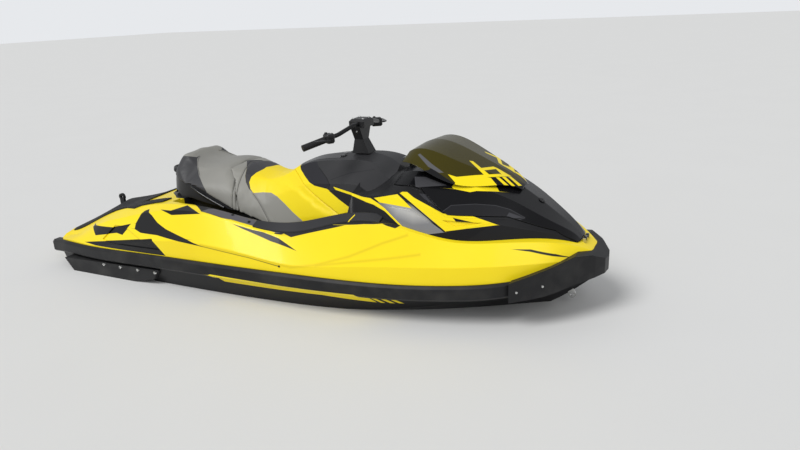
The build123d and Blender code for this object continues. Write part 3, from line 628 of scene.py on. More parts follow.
SADDLE_FRONT = ((-0.060, 0.700), (-0.060, 0.599), (-0.056, 0.585), (-0.029, 0.547), (-0.002, 0.516),
                (0.030, 0.499), (0.074, 0.492), (0.107, 0.487), (0.129, 0.476), (0.190, 0.436),
                (0.251, 0.395), (0.281, 0.380), (0.300, 0.300), (-0.500, 0.150), (-0.500, 0.700))
# Fairing between footwell and hood.
WAIST_LINE = ((0.160, 0.502), (0.260, 0.480), (0.335, 0.461), (0.379, 0.458), (0.417, 0.438),
              (0.454, 0.414), (0.512, 0.361), (0.573, 0.308), (0.560, 0.308), (0.453, 0.400),
              (0.397, 0.425), (0.353, 0.437), (0.259, 0.467), (0.174, 0.486))
ARROW_HEAD = ((0.399, 0.461), (0.526, 0.490), (0.596, 0.427), (0.427, 0.441))
SILVER_FIELD = ((0.417, 0.441), (0.596, 0.426), (0.739, 0.339), (0.762, 0.325), (0.590, 0.290),
                (0.573, 0.308), (0.512, 0.361), (0.454, 0.414))
# Painted highlight: a soft pale field in the middle of the silver panel.
PAINTED_HIGHLIGHT_FIELD = ((0.490, 0.430), (0.600, 0.425), (0.665, 0.385), (0.600, 0.375), (0.520, 0.400))
LOWER_FIELD = ((0.584, 0.270), (0.584, 0.297), (0.762, 0.325), (0.895, 0.355), (0.987, 0.367),
               (0.930, 0.330), (0.830, 0.270))
FLANK_BAND = ((0.558, 0.500), (0.572, 0.508), (0.597, 0.509), (0.630, 0.484), (0.777, 0.419),
              (0.902, 0.426), (1.057, 0.388), (0.912, 0.360), (0.785, 0.334))
FLANK_GAP = ((0.545, 0.504), (0.781, 0.330))
FLANK_NOTCH = ((0.825, 0.404), (0.954, 0.386), (0.852, 0.374))
RECESS = ((0.659, 0.506), (0.750, 0.507), (0.807, 0.447), (0.758, 0.443), (0.685, 0.482))

FLANK = (Patch(BLACK, LOWER_FIELD, WAIST_LEAN, roughness=0.35),
         Patch(SILVER, SILVER_FIELD, WAIST_LEAN, roughness=0.36, metallic=0.5),
         # Painted highlight on the silver panel, with a wide soft edge.
         Patch(PAINTED_HIGHLIGHT_SILVER, PAINTED_HIGHLIGHT_FIELD, WAIST_LEAN, soft=0.06),
         Patch(YELLOW, ARROW_HEAD, WAIST_LEAN, roughness=0.25, metallic=0.0),
         Patch(YELLOW, FLANK_BAND, FLANK_LEAN, roughness=0.25, metallic=0.0),
         Patch(BLACK, FLANK_GAP, FLANK_LEAN, width=0.006, metallic=0.0),
         Patch(BLACK, FLANK_NOTCH, FLANK_LEAN, roughness=0.6),
         Patch(RECESS_BLACK, RECESS, FLANK_LEAN, roughness=0.4),
         Patch(YELLOW, WAIST_LINE, WAIST_LEAN, roughness=0.25, metallic=0.0))

# Deck, with its inner floor and sill in plan.
DECK_INNER = ((-0.93, -0.01), (-0.93, 0.14), (-0.912, 0.17), (-0.757, 0.300), (-0.700, 0.300),
              (-0.397, 0.490), (-0.230, 0.503), (-0.060, 0.503), (0.118, 0.493), (0.215, 0.455),
              (0.390, 0.448), (0.520, 0.440), (0.760, 0.420), (0.760, -0.01))
SILL = ((-0.400, 0.487), (-0.230, 0.498), (-0.060, 0.498), (0.100, 0.488), (0.200, 0.452), (0.200, 0.400),
        (-0.060, 0.380), (-0.340, 0.400))
SIDE_GRILLE = ((-0.797, 0.426), (-0.744, 0.405), (-0.685, 0.374), (-0.611, 0.351), (-0.443, 0.319),
               (-0.328, 0.293), (-0.431, 0.298), (-0.662, 0.314), (-0.807, 0.308), (-0.866, 0.320),
               (-0.866, 0.349), (-0.841, 0.394), (-0.827, 0.415))
DECK_MARKS = (
    Patch(SOFT_BLACK, DECK_INNER, plane=Plane.PLAN, roughness=0.45),
    Patch(SILL_GREY, SILL, plane=Plane.PLAN, roughness=0.4),
    Patch(BLACK, ((-0.216, 0.421), (-0.014, 0.388), (0.112, 0.363), (0.240, 0.320), (0.069, 0.348),
                  (-0.113, 0.392)), beyond=0.46),
    Patch(SOFT_BLACK, ((0.110, 0.388), (0.136, 0.382), (0.185, 0.374), (0.493, 0.463), (0.591, 0.478),
                       (0.686, 0.484), (0.754, 0.468), (0.780, 0.480), (0.680, 0.530), (0.393, 0.500),
                       (0.215, 0.430)), beyond=0.40, roughness=0.4),
    Patch(YELLOW_CREASE, ((-0.344, 0.295), (-0.025, 0.268), (0.153, 0.244)), width=0.0045, beyond=0.5),
    # Painted shade: two soft darker yellow lines stand in for the shade of the deck's side creases.
    Patch(CREASE_PAINTED_SHADE, ((-0.344, 0.301), (-0.025, 0.274), (0.219, 0.246), (0.363, 0.272), (0.539, 0.328),
                         (0.702, 0.400), (0.816, 0.440)), width=0.009, soft=0.012, beyond=0.4),
    Patch(CREASE_PAINTED_SHADE, ((0.364, 0.270), (0.572, 0.308), (0.884, 0.357)), width=0.008, soft=0.012,
          beyond=0.4),
    Patch(BLACK, ((1.274, 0.379), (1.352, 0.373), (1.454, 0.341), (1.527, 0.312), (1.444, 0.335),
                  (1.352, 0.364)), beyond=0.08),
    Patch(BLACK, ((-1.330, 0.272), (-1.071, 0.300), (-0.908, 0.342), (-0.975, 0.272), (-1.035, 0.274),
                  (-1.240, 0.231)), beyond=0.41, roughness=0.3),
    Patch(BLACK, SIDE_GRILLE, beyond=0.41, roughness=0.5),
    Patch(YELLOW, ((-0.376, 0.450), (-0.198, 0.426), (-0.052, 0.402), (0.078, 0.384), (0.078, 0.376),
                   (-0.052, 0.390), (-0.198, 0.414), (-0.376, 0.438)), beyond=0.47),
    Patch(BLACK, ((-1.332, 0.183), (-0.704, 0.292), (-0.612, 0.204), (-1.218, 0.183)), beyond=0.5,
          roughness=0.3),
    Patch(BLACK, ((-1.102, 0.277), (-1.023, 0.278), (-0.903, 0.318), (-0.813, 0.279), (-1.021, 0.253)),
          SEAT_LEAN, beyond=0.42, roughness=0.3),
)

RAIL_MARKS = (
    Patch(YELLOW, ((-0.300, 0.143), (-0.282, 0.150), (0.272, 0.149), (0.575, 0.150), (0.640, 0.100),
                   (0.640, 0.050), (-0.215, 0.050), (-0.225, 0.100)), beyond=0.45, roughness=0.25),
)

HULL_SLASHES = (((0.656, 0.072), (0.678, 0.072), (0.616, 0.130), (0.594, 0.130)),
                ((0.700, 0.073), (0.726, 0.073), (0.664, 0.130), (0.640, 0.130)),
                ((0.745, 0.073), (0.769, 0.073), (0.710, 0.130), (0.688, 0.130)))
HULL_MARKS = (
    Patch(YELLOW, ((-0.330, 0.150), (-0.240, 0.094), (0.200, 0.094), (0.353, 0.096), (0.637, 0.073),
                   (0.575, 0.150)), beyond=0.38, roughness=0.25),
    *(Patch(YELLOW, slash, beyond=0.38) for slash in HULL_SLASHES),
)

LENS = ((0.819, 0.423), (0.865, 0.460), (0.984, 0.477), (1.083, 0.479), (1.156, 0.466), (1.228, 0.433),
        (1.181, 0.416), (1.101, 0.390), (0.930, 0.400))
HOOD_MARKS = (
    Patch(YELLOW, ((0.868, 0.552), (0.878, 0.543), (0.958, 0.534), (0.992, 0.543), (1.106, 0.550),
                   (1.087, 0.585), (0.880, 0.570)), HOOD_LEAN, roughness=0.25),
    # Painted highlight: a thin lighter line round the lens.
    Patch(LENS_RIM_PAINTED_HIGHLIGHT, (*LENS, LENS[0]), HOOD_LEAN, width=0.004, roughness=0.3),
    Patch(LENS_BLACK, LENS, HOOD_LEAN, roughness=0.32),
    Patch(LENS_TIP, ((1.150, 0.452), (1.222, 0.433), (1.130, 0.420)), HOOD_LEAN, roughness=0.4),
    Patch(HOOD_SHOULDER, ((0.674, 0.589), (0.731, 0.592), (0.843, 0.558), (0.684, 0.534)), HOOD_LEAN,
          roughness=0.4),
)

SCREEN_SLASHES = (((1.087, 0.627), (1.105, 0.628), (1.155, 0.589), (1.136, 0.586)),
                  ((1.119, 0.631), (1.138, 0.632), (1.186, 0.591), (1.171, 0.588)),
                  ((1.153, 0.635), (1.170, 0.635), (1.224, 0.595), (1.205, 0.592)),
                  ((0.954, 0.700), (0.973, 0.699), (1.066, 0.629), (1.035, 0.627)),
                  ((1.011, 0.667), (1.080, 0.680), (1.100, 0.670), (1.025, 0.656)),
                  ((1.080, 0.680), (1.101, 0.673), (1.172, 0.637), (1.129, 0.634)),
                  ((0.983, 0.630), (1.108, 0.645), (1.157, 0.636), (0.982, 0.618)))
SCREEN_MARKS = (
    Patch(BLACK, ((0.700, 0.630), (0.744, 0.638), (0.760, 0.650), (0.843, 0.600), (0.880, 0.580),
                  (0.851, 0.545), (0.700, 0.560)), SCREEN_LEAN, roughness=0.35),
    # Painted reflection: a grey strip on the deflector's rear top edge stands in for the sky reflected
    # there.
    Patch(SCREEN_LIP_PAINTED_REFLECTION, ((0.700, 0.718), (0.689, 0.711), (0.744, 0.655), (0.800, 0.628), (0.822, 0.632),
                       (0.765, 0.668)), SCREEN_LEAN, roughness=0.4),
    Patch(YELLOW, ((0.843, 0.625), (0.887, 0.615), (0.983, 0.630), (1.065, 0.622), (1.117, 0.584),
                   (1.110, 0.560), (0.870, 0.560), (0.880, 0.587)), SCREEN_LEAN, roughness=0.22),
    Patch(BLACK, ((1.060, 0.624), (1.144, 0.641), (1.200, 0.620), (1.255, 0.599), (1.240, 0.570),
                  (1.117, 0.560)), SCREEN_LEAN),
    *(Patch(YELLOW, slash, SCREEN_LEAN) for slash in SCREEN_SLASHES),
)

CONSOLE_MARKS = (
    Patch(CONSOLE_TOP, ((-0.20, 0.80), (0.050, 0.640), (0.065, 0.604), (0.111, 0.546), (0.128, 0.508),
                        (0.120, 0.470), (-0.20, 0.30)), CONSOLE_LEAN, roughness=0.42),
    Patch(BLACK, ((0.065, 0.604), (0.111, 0.546), (0.128, 0.508)), CONSOLE_LEAN, width=0.006),
    Patch(CONSOLE_CREASE, ((0.133, 0.538), (0.255, 0.585), (0.405, 0.615)), CONSOLE_LEAN, width=0.004),
    Patch(YELLOW, SADDLE_FRONT, CONSOLE_LEAN, roughness=0.42),
    Patch(YELLOW, WAIST_LINE, WAIST_LEAN, roughness=0.25),
    Patch(CONSOLE_LOWER, ((0.174, 0.486), (0.259, 0.467), (0.353, 0.437), (0.453, 0.400), (0.560, 0.308),
                          (0.400, 0.250), (0.281, 0.380), (0.190, 0.436), (0.131, 0.478)), WAIST_LEAN,
          roughness=0.35),
)



def sewn(line: tuple[Spot, ...]) -> Patch:
    """A sewn line on the saddle."""
    return Patch(SEAM, line, SEAT_LEAN, width=0.004)


REAR_FIELD = (*PIPING, (-0.60, 0.10), (-1.30, 0.10), (-1.30, 0.60), (-0.90, 0.615), (-0.830, 0.615))
GELCOAT = Finish("deck_yellow", YELLOW, YELLOW_DEEP, 0.36, coat=0.1, specular=0.25, pitch=0.02,
                 depth=0.00003, rounded=0.006, patches=DECK_MARKS)
FAIRING = Finish("cowl_black", FAIRING_BLACK, grey(0.013), 0.34, specular=0.22, pitch=0.02,
                 depth=0.00003, patches=FLANK)

FINISHES: dict[str, Finish] = {item.name: item for item in (
    GELCOAT,
    replace(GELCOAT, name="grille_black", rounded=0.003),
    FAIRING,
    replace(FAIRING, name="panel_silver"),
    replace(FAIRING, name="band_yellow"),
    Finish("hull_black", BLACK, grey(0.009), 0.3, specular=0.2, pitch=0.02, depth=0.00003,
           rounded=0.004, patches=HULL_MARKS),
    Finish("bumper_rubber", grey(0.012), grey(0.017), 0.42, 0.12, specular=0.2, grain=Grain.CAST,
           pitch=0.0024, depth=0.00006, dust=0.1, rounded=0.006, patches=RAIL_MARKS),
    Finish("console_grey", grey(0.03, 0.002), grey(0.024, 0.002), 0.46, specular=0.25,
           grain=Grain.PEBBLED, depth=0.00006, patches=CONSOLE_MARKS),
    Finish("lid_black", grey(0.01), grey(0.014), 0.26, grain=Grain.PEBBLED, depth=0.00004),
    Finish("trim_black", grey(0.012), grey(0.018), 0.36, specular=0.25, grain=Grain.CAST,
           depth=0.00003),
    Finish("seat_vinyl", YELLOW, YELLOW_DEEP, 0.45, specular=0.3, grain=Grain.PEBBLED, pitch=0.0024,
           depth=0.00012, rounded=0.0,
           patches=(Patch(MOUSE_GREY, GREY_FLANK, SEAT_LEAN), Patch(MOUSE_GREY, GREY_REAR, SEAT_LEAN),
                    Patch(DARK_VINYL, DARK_TOP, SEAT_LEAN), sewn(SEAM_FRONT), sewn(SEAM_SECOND))),
    Finish("bolster_vinyl", MOUSE_GREY, MOUSE_DEEP, 0.48, specular=0.35, grain=Grain.PEBBLED,
           pitch=0.0024, depth=0.00012, rounded=0.0,
           patches=(Patch(DARK_BACK, REAR_FIELD, SEAT_LEAN), sewn(SEAM_FIRST), sewn(SEAM_SECOND))),
    Finish("hood_black", grey(0.005), grey(0.007), 0.22, specular=0.18, pitch=0.02, depth=0.00003,
           patches=HOOD_MARKS, outer_only=True),
    Finish("stainless", (0.62, 0.62, 0.61), (0.5, 0.5, 0.49), 0.26, metallic=1.0, grain=Grain.BRUSHED,
           rounded=0.0),
    Finish("deflector_smoke", (0.046, 0.038, 0.002), (0.034, 0.028, 0.002), 0.24, specular=0.22,
           pitch=0.03, depth=0.00003, patches=SCREEN_MARKS, outer_only=True),
    Finish("pump_alloy", grey(0.42, 0.01), grey(0.33, 0.01), 0.45, metallic=0.9, grain=Grain.CAST,
           pitch=0.003, depth=0.0002),
    Finish("bucket_black", grey(0.02), grey(0.03), 0.4, grain=Grain.CAST),
    Finish("plate_black", grey(0.02), grey(0.032), 0.45, grain=Grain.CAST),
    Finish("engine_grey", grey(0.2, 0.01), grey(0.12, 0.005), 0.5, metallic=0.6, grain=Grain.CAST,
           pitch=0.004, depth=0.0004),
    Finish("bin_black", grey(0.02), grey(0.028), 0.5, grain=Grain.PEBBLED),
    Finish("bar_black", grey(0.012), grey(0.02), 0.3, metallic=0.3, specular=0.25, grain=Grain.CAST,
           depth=0.00004),
    Finish("grip_rubber", grey(0.014), grey(0.022), 0.6, specular=0.25, grain=Grain.HONEYCOMB,
           pitch=0.006, depth=0.0006),
    Finish("pod_black", grey(0.014), grey(0.02), 0.36, specular=0.25, grain=Grain.PEBBLED,
           depth=0.00005),
    Finish("lever_black", grey(0.02), grey(0.03), 0.28, metallic=0.5, grain=Grain.CAST),
    Finish("gauge_black", grey(0.008), grey(0.012), 0.16, coat=0.6),
    Finish("sponson_grey", grey(0.018), grey(0.024), 0.5, specular=0.22, grain=Grain.CAST,
           depth=0.00006, dust=0.15, rounded=0.006),
    Finish("deck_mat", grey(0.018, 0.002), grey(0.026, 0.002), 0.75, specular=0.25, grain=Grain.GROOVED,
           pitch=0.018, depth=0.0016, dust=0.1),
    Finish("knee_trim", grey(0.024, 0.003), grey(0.032, 0.003), 0.42, specular=0.25,
           grain=Grain.CAST, depth=0.00004,
           patches=(Patch(YELLOW, ((0.527, 0.506), (0.493, 0.458)), width=0.005),
                    Patch(YELLOW, WAIST_LINE, WAIST_LEAN))),
)}


@dataclass
class Studio:
    """Camera, floor, backdrop and lamps. The camera stands where the photograph was taken."""

    camera_place: Place = (2.101, -3.079, 1.440)
    right: Place = (0.89847, 0.43689, -0.04336)
    down: Place = (0.09805, -0.29596, -0.95016)
    forward: Place = (-0.42795, 0.84943, -0.30875)
    focal_pixels: float = 663.0
    picture_width: float = 800.0
    sensor: float = 36.0
    sight: float = 200.0
    floor_half: float = 60.0
    floor_tones: tuple[Colour, Colour] = ((0.70, 0.70, 0.69), (0.72, 0.72, 0.71))
    floor_blotch: float = 1.5
    floor_roughness: float = 0.85
    floor_specular: float = 0.2
    sky_colour: tuple[float, ...] = (0.95, 0.97, 1.0, 1.0)
    fill: float = 0.42
    backdrop: float = 0.84
    gloss_share: float = 0.25
    lamps: tuple[tuple[str, Place, float, float], ...] = (("key_lamp", (-2.2, -4.6, 6.0), 0.5, 1.9),
                                                          ("side_lamp", (4.0, -3.4, 3.4), 0.7, 0.7))

    def camera(self) -> None:
        """Places the camera."""
        data = bpy.data.cameras.new("camera")
        data.sensor_width = self.sensor
        data.lens = self.focal_pixels / self.picture_width * self.sensor
        data.clip_end = self.sight
        eye = bpy.data.objects.new("camera", data)
        right, down, forward = [Vector(axis).normalized() for axis in (self.right, self.down, self.forward)]
        turn = Matrix((right, -down, -forward)).transposed()
        eye.matrix_world = Matrix.Translation(self.camera_place) @ turn.to_4x4()
        bpy.context.scene.collection.objects.link(eye)
        bpy.context.scene.camera = eye

    def floor(self) -> None:
        """Lays a pale floor at the waterline."""
        sheet = bmesh.new()
        bmesh.ops.create_grid(sheet, x_segments=1, y_segments=1, size=self.floor_half)
        item = hang("floor", sheet, "")
        surface = Surface("floor_pale")
        tone = surface.mix(surface.noise(self.floor_blotch, FINE_DETAIL), *self.floor_tones)
        item.data.materials.append(surface.finish({"Base Color": tone, "Roughness": self.floor_roughness,
                                                   "Specular IOR Level": self.floor_specular}))

    def lamp(self, name: str, place: Place, width: float, power: float) -> None:
        """Hangs one far soft lamp.

        Args:
            name: The lamp's name.
            place: Where it stands, seen from the craft.
            width: The angle that it fills, in radians.
            power: Its strength.
        """
        data = bpy.data.lights.new(name, "SUN")
        data.angle = width
        data.energy = power
        item = bpy.data.objects.new(name, data)
        item.location = place
        item.rotation_euler = (-Vector(place)).to_track_quat("-Z", "Y").to_euler()
        bpy.context.scene.collection.objects.link(item)

    def world(self) -> None:
        """Lights the scene softly from all round, and shows a pale backdrop to the eye and to gloss."""
        sky = bpy.data.worlds.new("studio_world")
        bpy.context.scene.world = sky
        sky.use_nodes = True
        graph = Graph(sky.node_tree)
        seen = graph.add("ShaderNodeLightPath").outputs
        direct = Level(graph, seen["Is Camera Ray"])
        shown = (direct + Level(graph, seen["Is Glossy Ray"]) * self.gloss_share
                 + Level(graph, seen["Is Transmission Ray"])).clamped()
        strength = shown * (self.backdrop - self.fill) + self.fill
        back = graph.add("ShaderNodeBackground", {}, {"Color": self.sky_colour,
                                                      "Strength": strength})
        graph.add("ShaderNodeOutputWorld", {}, {0: back.outputs[0]})

    def build(self) -> None:
        """Sets the whole studio up."""
        bpy.context.scene.view_settings.view_transform = "Standard"
        self.camera()
        self.floor()
        for lamp in self.lamps:
            self.lamp(*lamp)
        self.world()
        LOG.info("studio: camera, floor, two lamps and backdrop")


def hang(name: str, skin: bmesh.types.BMesh, body: str) -> bpy.types.Object:
    """Turns a bmesh into an object at the origin.

    Args:
        name: The piece's name.
        skin: The mesh, which is freed.
        body: The body that carries it, or an empty text for stage pieces.

    Returns:
        The object.
    """
    mesh = bpy.data.meshes.new(name)
    skin.to_mesh(mesh)
    skin.free()
    item = bpy.data.objects.new(name, mesh)
    bpy.context.scene.collection.objects.link(item)
    if body:
        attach(item, body)
    return item


def edge_turn(edge: bmesh.types.BMEdge) -> float:
    """Angle between the two faces of an edge, or a half turn where there aren't two."""
    return edge.calc_face_angle() if len(edge.link_faces) == 2 else pi


def welded(mesh: bpy.types.Mesh) -> bmesh.types.BMesh:
    """Joins a mesh's loose triangles in a copy.

    Args:
        mesh: The mesh, which stays as it is.

    Returns:
        The joined copy.
    """
    skin = bmesh.new()
    skin.from_mesh(mesh)
    bmesh.ops.remove_doubles(skin, verts=skin.verts, dist=WELD)
    return skin


def settled(item: bpy.types.Object) -> bpy.types.Mesh:
    """An object's mesh with its modifiers applied."""
    return bpy.data.meshes.new_from_object(item.evaluated_get(bpy.context.evaluated_depsgraph_get()))


def shade(skin: bmesh.types.BMesh, crease: float) -> None:
    """Shades a mesh smoothly, except over its sharp edges.

    Args:
        skin: The mesh.
        crease: Degrees from which an edge stays sharp.
    """
    for face in skin.faces:
        face.smooth = True
    for edge in skin.edges:
        edge.smooth = edge_turn(edge) < radians(crease)


MADE: dict[str, bpy.types.Material] = {}


def cover(item: bpy.types.Object, slot: str) -> None:
    """Gives an object the one material of a slot, which is made on first use.

    Args:
        item: The object.
        slot: The record's slot.
    """
    if slot not in MADE:
        MADE[slot] = FINISHES[slot].build()
    item.data.materials.clear()
    item.data.materials.append(MADE[slot])


def dress(item: bpy.types.Object, slot: str) -> None:
    """Gives a new piece its finish and names the record's slot.

    Args:
        item: The piece.
        slot: The record's slot.
    """
    cover(item, slot)
    LOG.info("piece %s: %s, %d faces", item.name, slot, len(item.data.polygons))


def slot_of(node: str) -> str:
    """The record's material slot of a node."""
    return next(part["material_slot"] for part in frame["record"]["subparts"] if part["node"] == node)


def body_of(node: str) -> str:
    """The body that a node belongs to."""
    return next(body for body, members in frame["record"]["behaviour"]["bodies"].items() if node in members)


def carry_over(*nodes: str) -> None:
    """Keeps nodes as they are and gives them their finish.

    Args:
        nodes: The nodes' names.
    """
    for node in nodes:
        cover(frame["nodes"][node], slot_of(node))
        LOG.info("node %s: %s", node, slot_of(node))


def surface_of(mesh: bpy.types.Mesh) -> BVHTree:
    """A search tree over a mesh."""
    return BVHTree.FromPolygons([point.co.copy() for point in mesh.vertices],
                                [tuple(face.vertices) for face in mesh.polygons])


def touch(tree: BVHTree, start: Place, direction: Place) -> tuple[Vector, Vector] | None:
    """Follows a ray to a surface.

    Args:
        tree: The surface's search tree.
        start: The ray's start.
        direction: The way it goes, of any length.

    Returns:
        The point that it meets and the normal there, facing the start, or None for a miss.
    """
    way = Vector(direction).normalized()
    place, normal, _, _ = tree.ray_cast(Vector(start), way)
    if place is None:
        return None
    return place, normal if normal.dot(way) < 0 else -normal


def add_head(skin: bmesh.types.BMesh, place: Vector, normal: Vector, radius: float, height: float,
             sides: int) -> None:
    """Adds a fastener's head with a sunk middle to a mesh.

    Args:
        skin: The mesh to add to.
        place: Middle of its seat.
        normal: The way it faces.
        radius: Its radius.
        height: How far it stands out.
        sides: Faces round it.
    """
    turn = Vector((0.0, 0.0, 1.0)).rotation_difference(normal).to_matrix().to_4x4()
    seat = Matrix.Translation(place + normal * (height / 2 - HEAD_SINK)) @ turn
    made = bmesh.ops.create_cone(skin, cap_ends=True, segments=sides, radius1=radius,
                                 radius2=radius * HEAD_TAPER, depth=height, matrix=seat)
    faces = {face for point in made["verts"] for face in point.link_faces}
    top = max((face for face in faces if len(face.verts) == sides),
              key=lambda face: face.calc_center_median().dot(normal))
    bmesh.ops.inset_individual(skin, faces=[top], thickness=radius * HEAD_RIM, depth=0.0)
    bmesh.ops.inset_individual(skin, faces=[top], thickness=radius * HEAD_WALL,
                               depth=-height * HEAD_HOLLOW)


def side_rays(spots: Sequence[Spot]) -> list[Ray]:
    """Rays from both sides towards the middle plane, at spots of the side view."""
    return [((x, side * FAR_SIDE, z), (0.0, -side, 0.0)) for x, z in spots for side in BOTH_SIDES]


def set_heads(name: str, node: str, rays: Sequence[Ray], radius: float, height: float, slot: str,
              sides: int = 20) -> None:
    """Sets fastener heads on a node, as one piece.

    Args:
        name: The piece's name.
        node: What they sit on.
        rays: Start and direction of each ray that finds a seat.
        radius: Their radius.
        height: How far they stand out.
        slot: The record's slot.
        sides: Faces round each.
    """
    tree = surface_of(frame["nodes"][node].data)
    skin = bmesh.new()
    for ray in rays:
        hit = touch(tree, *ray)
        if hit:
            add_head(skin, *hit, radius, height, sides)
    shade(skin, HEAD_CREASE)
    dress(hang(name, skin, body_of(node)), slot)


def rods(name: str, points: Sequence[Place], radius: float, body: str, slot: str) -> None:
    """Bends a round rod smoothly along points, and a second one on the other side.

    Args:
        name: The piece's name.
        points: Control points, with y as the distance from the middle plane.
        radius: The rods' radius.
        body: The body that carries them.
        slot: The record's slot.
    """
    shape = bpy.data.curves.new(name, "CURVE")
    shape.dimensions = "3D"
    shape.bevel_depth = radius
    shape.bevel_resolution = ROD_ROUNDNESS
    shape.use_fill_caps = True
    for side in BOTH_SIDES:
        run = shape.splines.new("NURBS")
        run.points.add(len(points) - 1)
        for spot, (x, y, z) in zip(run.points, points):
            spot.co = (x, -side * y, z, 1.0)
        run.order_u = 3
        run.use_endpoint_u = True
        run.resolution_u = ROD_STEPS
    drawn = bpy.data.objects.new(name, shape)
    bpy.context.scene.collection.objects.link(drawn)
    skin = welded(settled(drawn))
    bpy.data.objects.remove(drawn)
    bmesh.ops.recalc_face_normals(skin, faces=skin.faces)
    shade(skin, ROD_CREASE)
    dress(hang(name, skin, body), slot)


@dataclass
class Seat:
    """The two-part saddle on its carrier, with sewn pads, piping, struts and grab handle.

    Swell is the most that the cloth simulation may move a pad's skin, and taut counts the smoothing
    steps after it. The core height is that of the line from which the outer skin faces away.
    """

    voxel: float = 0.0075
    frames: int = 20
    pressure: float = 4.0
    swell: float = 0.005
    core_height: float = 0.30
    skin_facing: float = 0.25
    taut: int = 6
    taut_factor: float = 0.5
    groove: float = 0.0045
    groove_width: float = 0.006
    groove_reach: float = 0.018
    seam_margin: float = 0.02
    seam_facing: float = -0.3
    piping_radius: float = 0.0032
    piping_rise: float = 0.3
    strut_radius: float = 0.008
    strut_line: tuple[Place, ...] = ((-0.665, 0.262, 0.515), (-0.622, 0.279, 0.497),
                                     (-0.530, 0.285, 0.457), (-0.420, 0.283, 0.412))

    def remeshed(self, node: str, name: str) -> bpy.types.Object:
        """Copies a pad's solid as an even mesh.

        Args:
            node: The solid.
            name: The piece's name.

        Returns:
            The copy, on the seat's body.
        """
        item = hang(name, welded(frame["nodes"][node].data), "seat")
        even = item.modifiers.new("even", "REMESH")
        even.mode = "VOXEL"
        even.voxel_size = self.voxel
        self.settle(item)
        return item

    def settle(self, item: bpy.types.Object) -> None:
        """Applies a piece's modifiers.

        Args:
            item: The piece.
        """
        mesh = settled(item)
        item.modifiers.clear()
        item.data = mesh

    def outer(self, item: bpy.types.Object) -> list[bool]:
        """Finds the pad's outer skin, clear of its underside and hem.

        Args:
            item: The pad.

        Returns:
            True for each point that faces away from the saddle's core.
        """
        marks = []
        for point in item.data.vertices:
            away = Vector((0.0, point.co.y, point.co.z - self.core_height)).normalized()
            marks.append(point.normal.dot(away) > self.skin_facing)
        return marks

    def stuff(self, item: bpy.types.Object) -> None:
        """Swells a pad's outer skin with a cloth simulation, and holds its underside.

        Args:
            item: The pad.
        """
        marks = self.outer(item)
        rest = [point.co.copy() for point in item.data.vertices]
        held = item.vertex_groups.new(name="held")
        held.add([index for index, free in enumerate(marks) if not free], 1.0, "REPLACE")
        cloth = item.modifiers.new("cloth", "CLOTH")
        cloth.settings.vertex_group_mass = "held"
        cloth.settings.use_pressure = True
        cloth.settings.uniform_pressure_force = self.pressure
        cloth.settings.effector_weights.gravity = 0.0
        cloth.collision_settings.use_collision = False
        cloth.point_cache.frame_end = self.frames
        for moment in range(1, self.frames + 1):
            bpy.context.scene.frame_set(moment)
        self.settle(item)
        bpy.context.scene.frame_set(1)
        item.vertex_groups.clear()
        for point, start, free in zip(item.data.vertices, rest, marks):
            move = point.co - start
            if not free:
                point.co = start
            elif move.length > self.swell:
                point.co = start + move * (self.swell / move.length)

    def sew(self, item: bpy.types.Object, line: Sequence[Spot]) -> None:
        """Presses a sewn channel into a pad.

        Args:
            item: The pad.
            line: The channel as a line of the leaned side view.
        """
        runs = [(Vector(a), Vector(b)) for a, b in zip(line, line[1:])]
        low = min(spot[0] for spot in line) - self.seam_margin
        high = max(spot[0] for spot in line) + self.seam_margin
        shifts = []
        for point in item.data.vertices:
            side = abs(point.co.y)
            spot = Vector((point.co.x + SEAT_LEAN[0] * side, point.co.z + SEAT_LEAN[1] * side))
            if not low < spot.x < high or point.normal.z < self.seam_facing:
                continue
            near = min(self.distance(spot, a, b) for a, b in runs)
            if near < self.groove_reach:
                depth = self.groove * exp(-(near / self.groove_width) ** 2)
                shifts.append((point, point.normal * depth))
        for point, shift in shifts:
            point.co -= shift

    @staticmethod
    def distance(spot: Vector, start: Vector, end: Vector) -> float:
        """Measures from a spot to a run.

        Args:
            spot: The spot.
            start: Where the run starts.
            end: Where it ends.

        Returns:
            The least distance.
        """
        way = end - start
        share = max(0.0, min(1.0, (spot - start).dot(way) / way.length_squared))
        return (spot - start - way * share).length

    def pad(self, node: str, name: str, slot: str, seams: Sequence[Sequence[Spot]]) -> bpy.types.Object:
        """Makes one sewn pad in the place of a solid.

        Args:
            node: The solid that it stands for.
            name: The piece's name.
            slot: The record's slot.
            seams: Sewn channels as lines of the leaned side view.

        Returns:
            The pad.
        """
        item = self.remeshed(node, name)
        self.stuff(item)
        tighter = item.modifiers.new("tighter", "SMOOTH")
        tighter.factor = self.taut_factor
        tighter.iterations = self.taut
        smoother = item.modifiers.new("smoother", "SUBSURF")
        smoother.levels = smoother.render_levels = 1
        self.settle(item)
        for seam in seams:
            self.sew(item, seam)
        for face in item.data.polygons:
            face.use_smooth = True
        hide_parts(node)
        dress(item, slot)
        return item

    def piping(self, pad: bpy.types.Object) -> None:
        """Lays a raised piping on the rear pad's edge.

        Args:
            pad: The rear pad.
        """
        tree = surface_of(pad.data)
        points = []
        for u, v in PIPING:
            start = (u - SEAT_LEAN[0] * FAR_SIDE, -FAR_SIDE, v - SEAT_LEAN[1] * FAR_SIDE)
            hit = touch(tree, start, (SEAT_LEAN[0], 1.0, SEAT_LEAN[1]))
            if hit:
                spot = hit[0] + hit[1] * self.piping_radius * self.piping_rise
                points.append((spot.x, -spot.y, spot.z))
        if len(points) > 2:
            rods("bolster_piping", points, self.piping_radius, "seat", "bolster_vinyl")

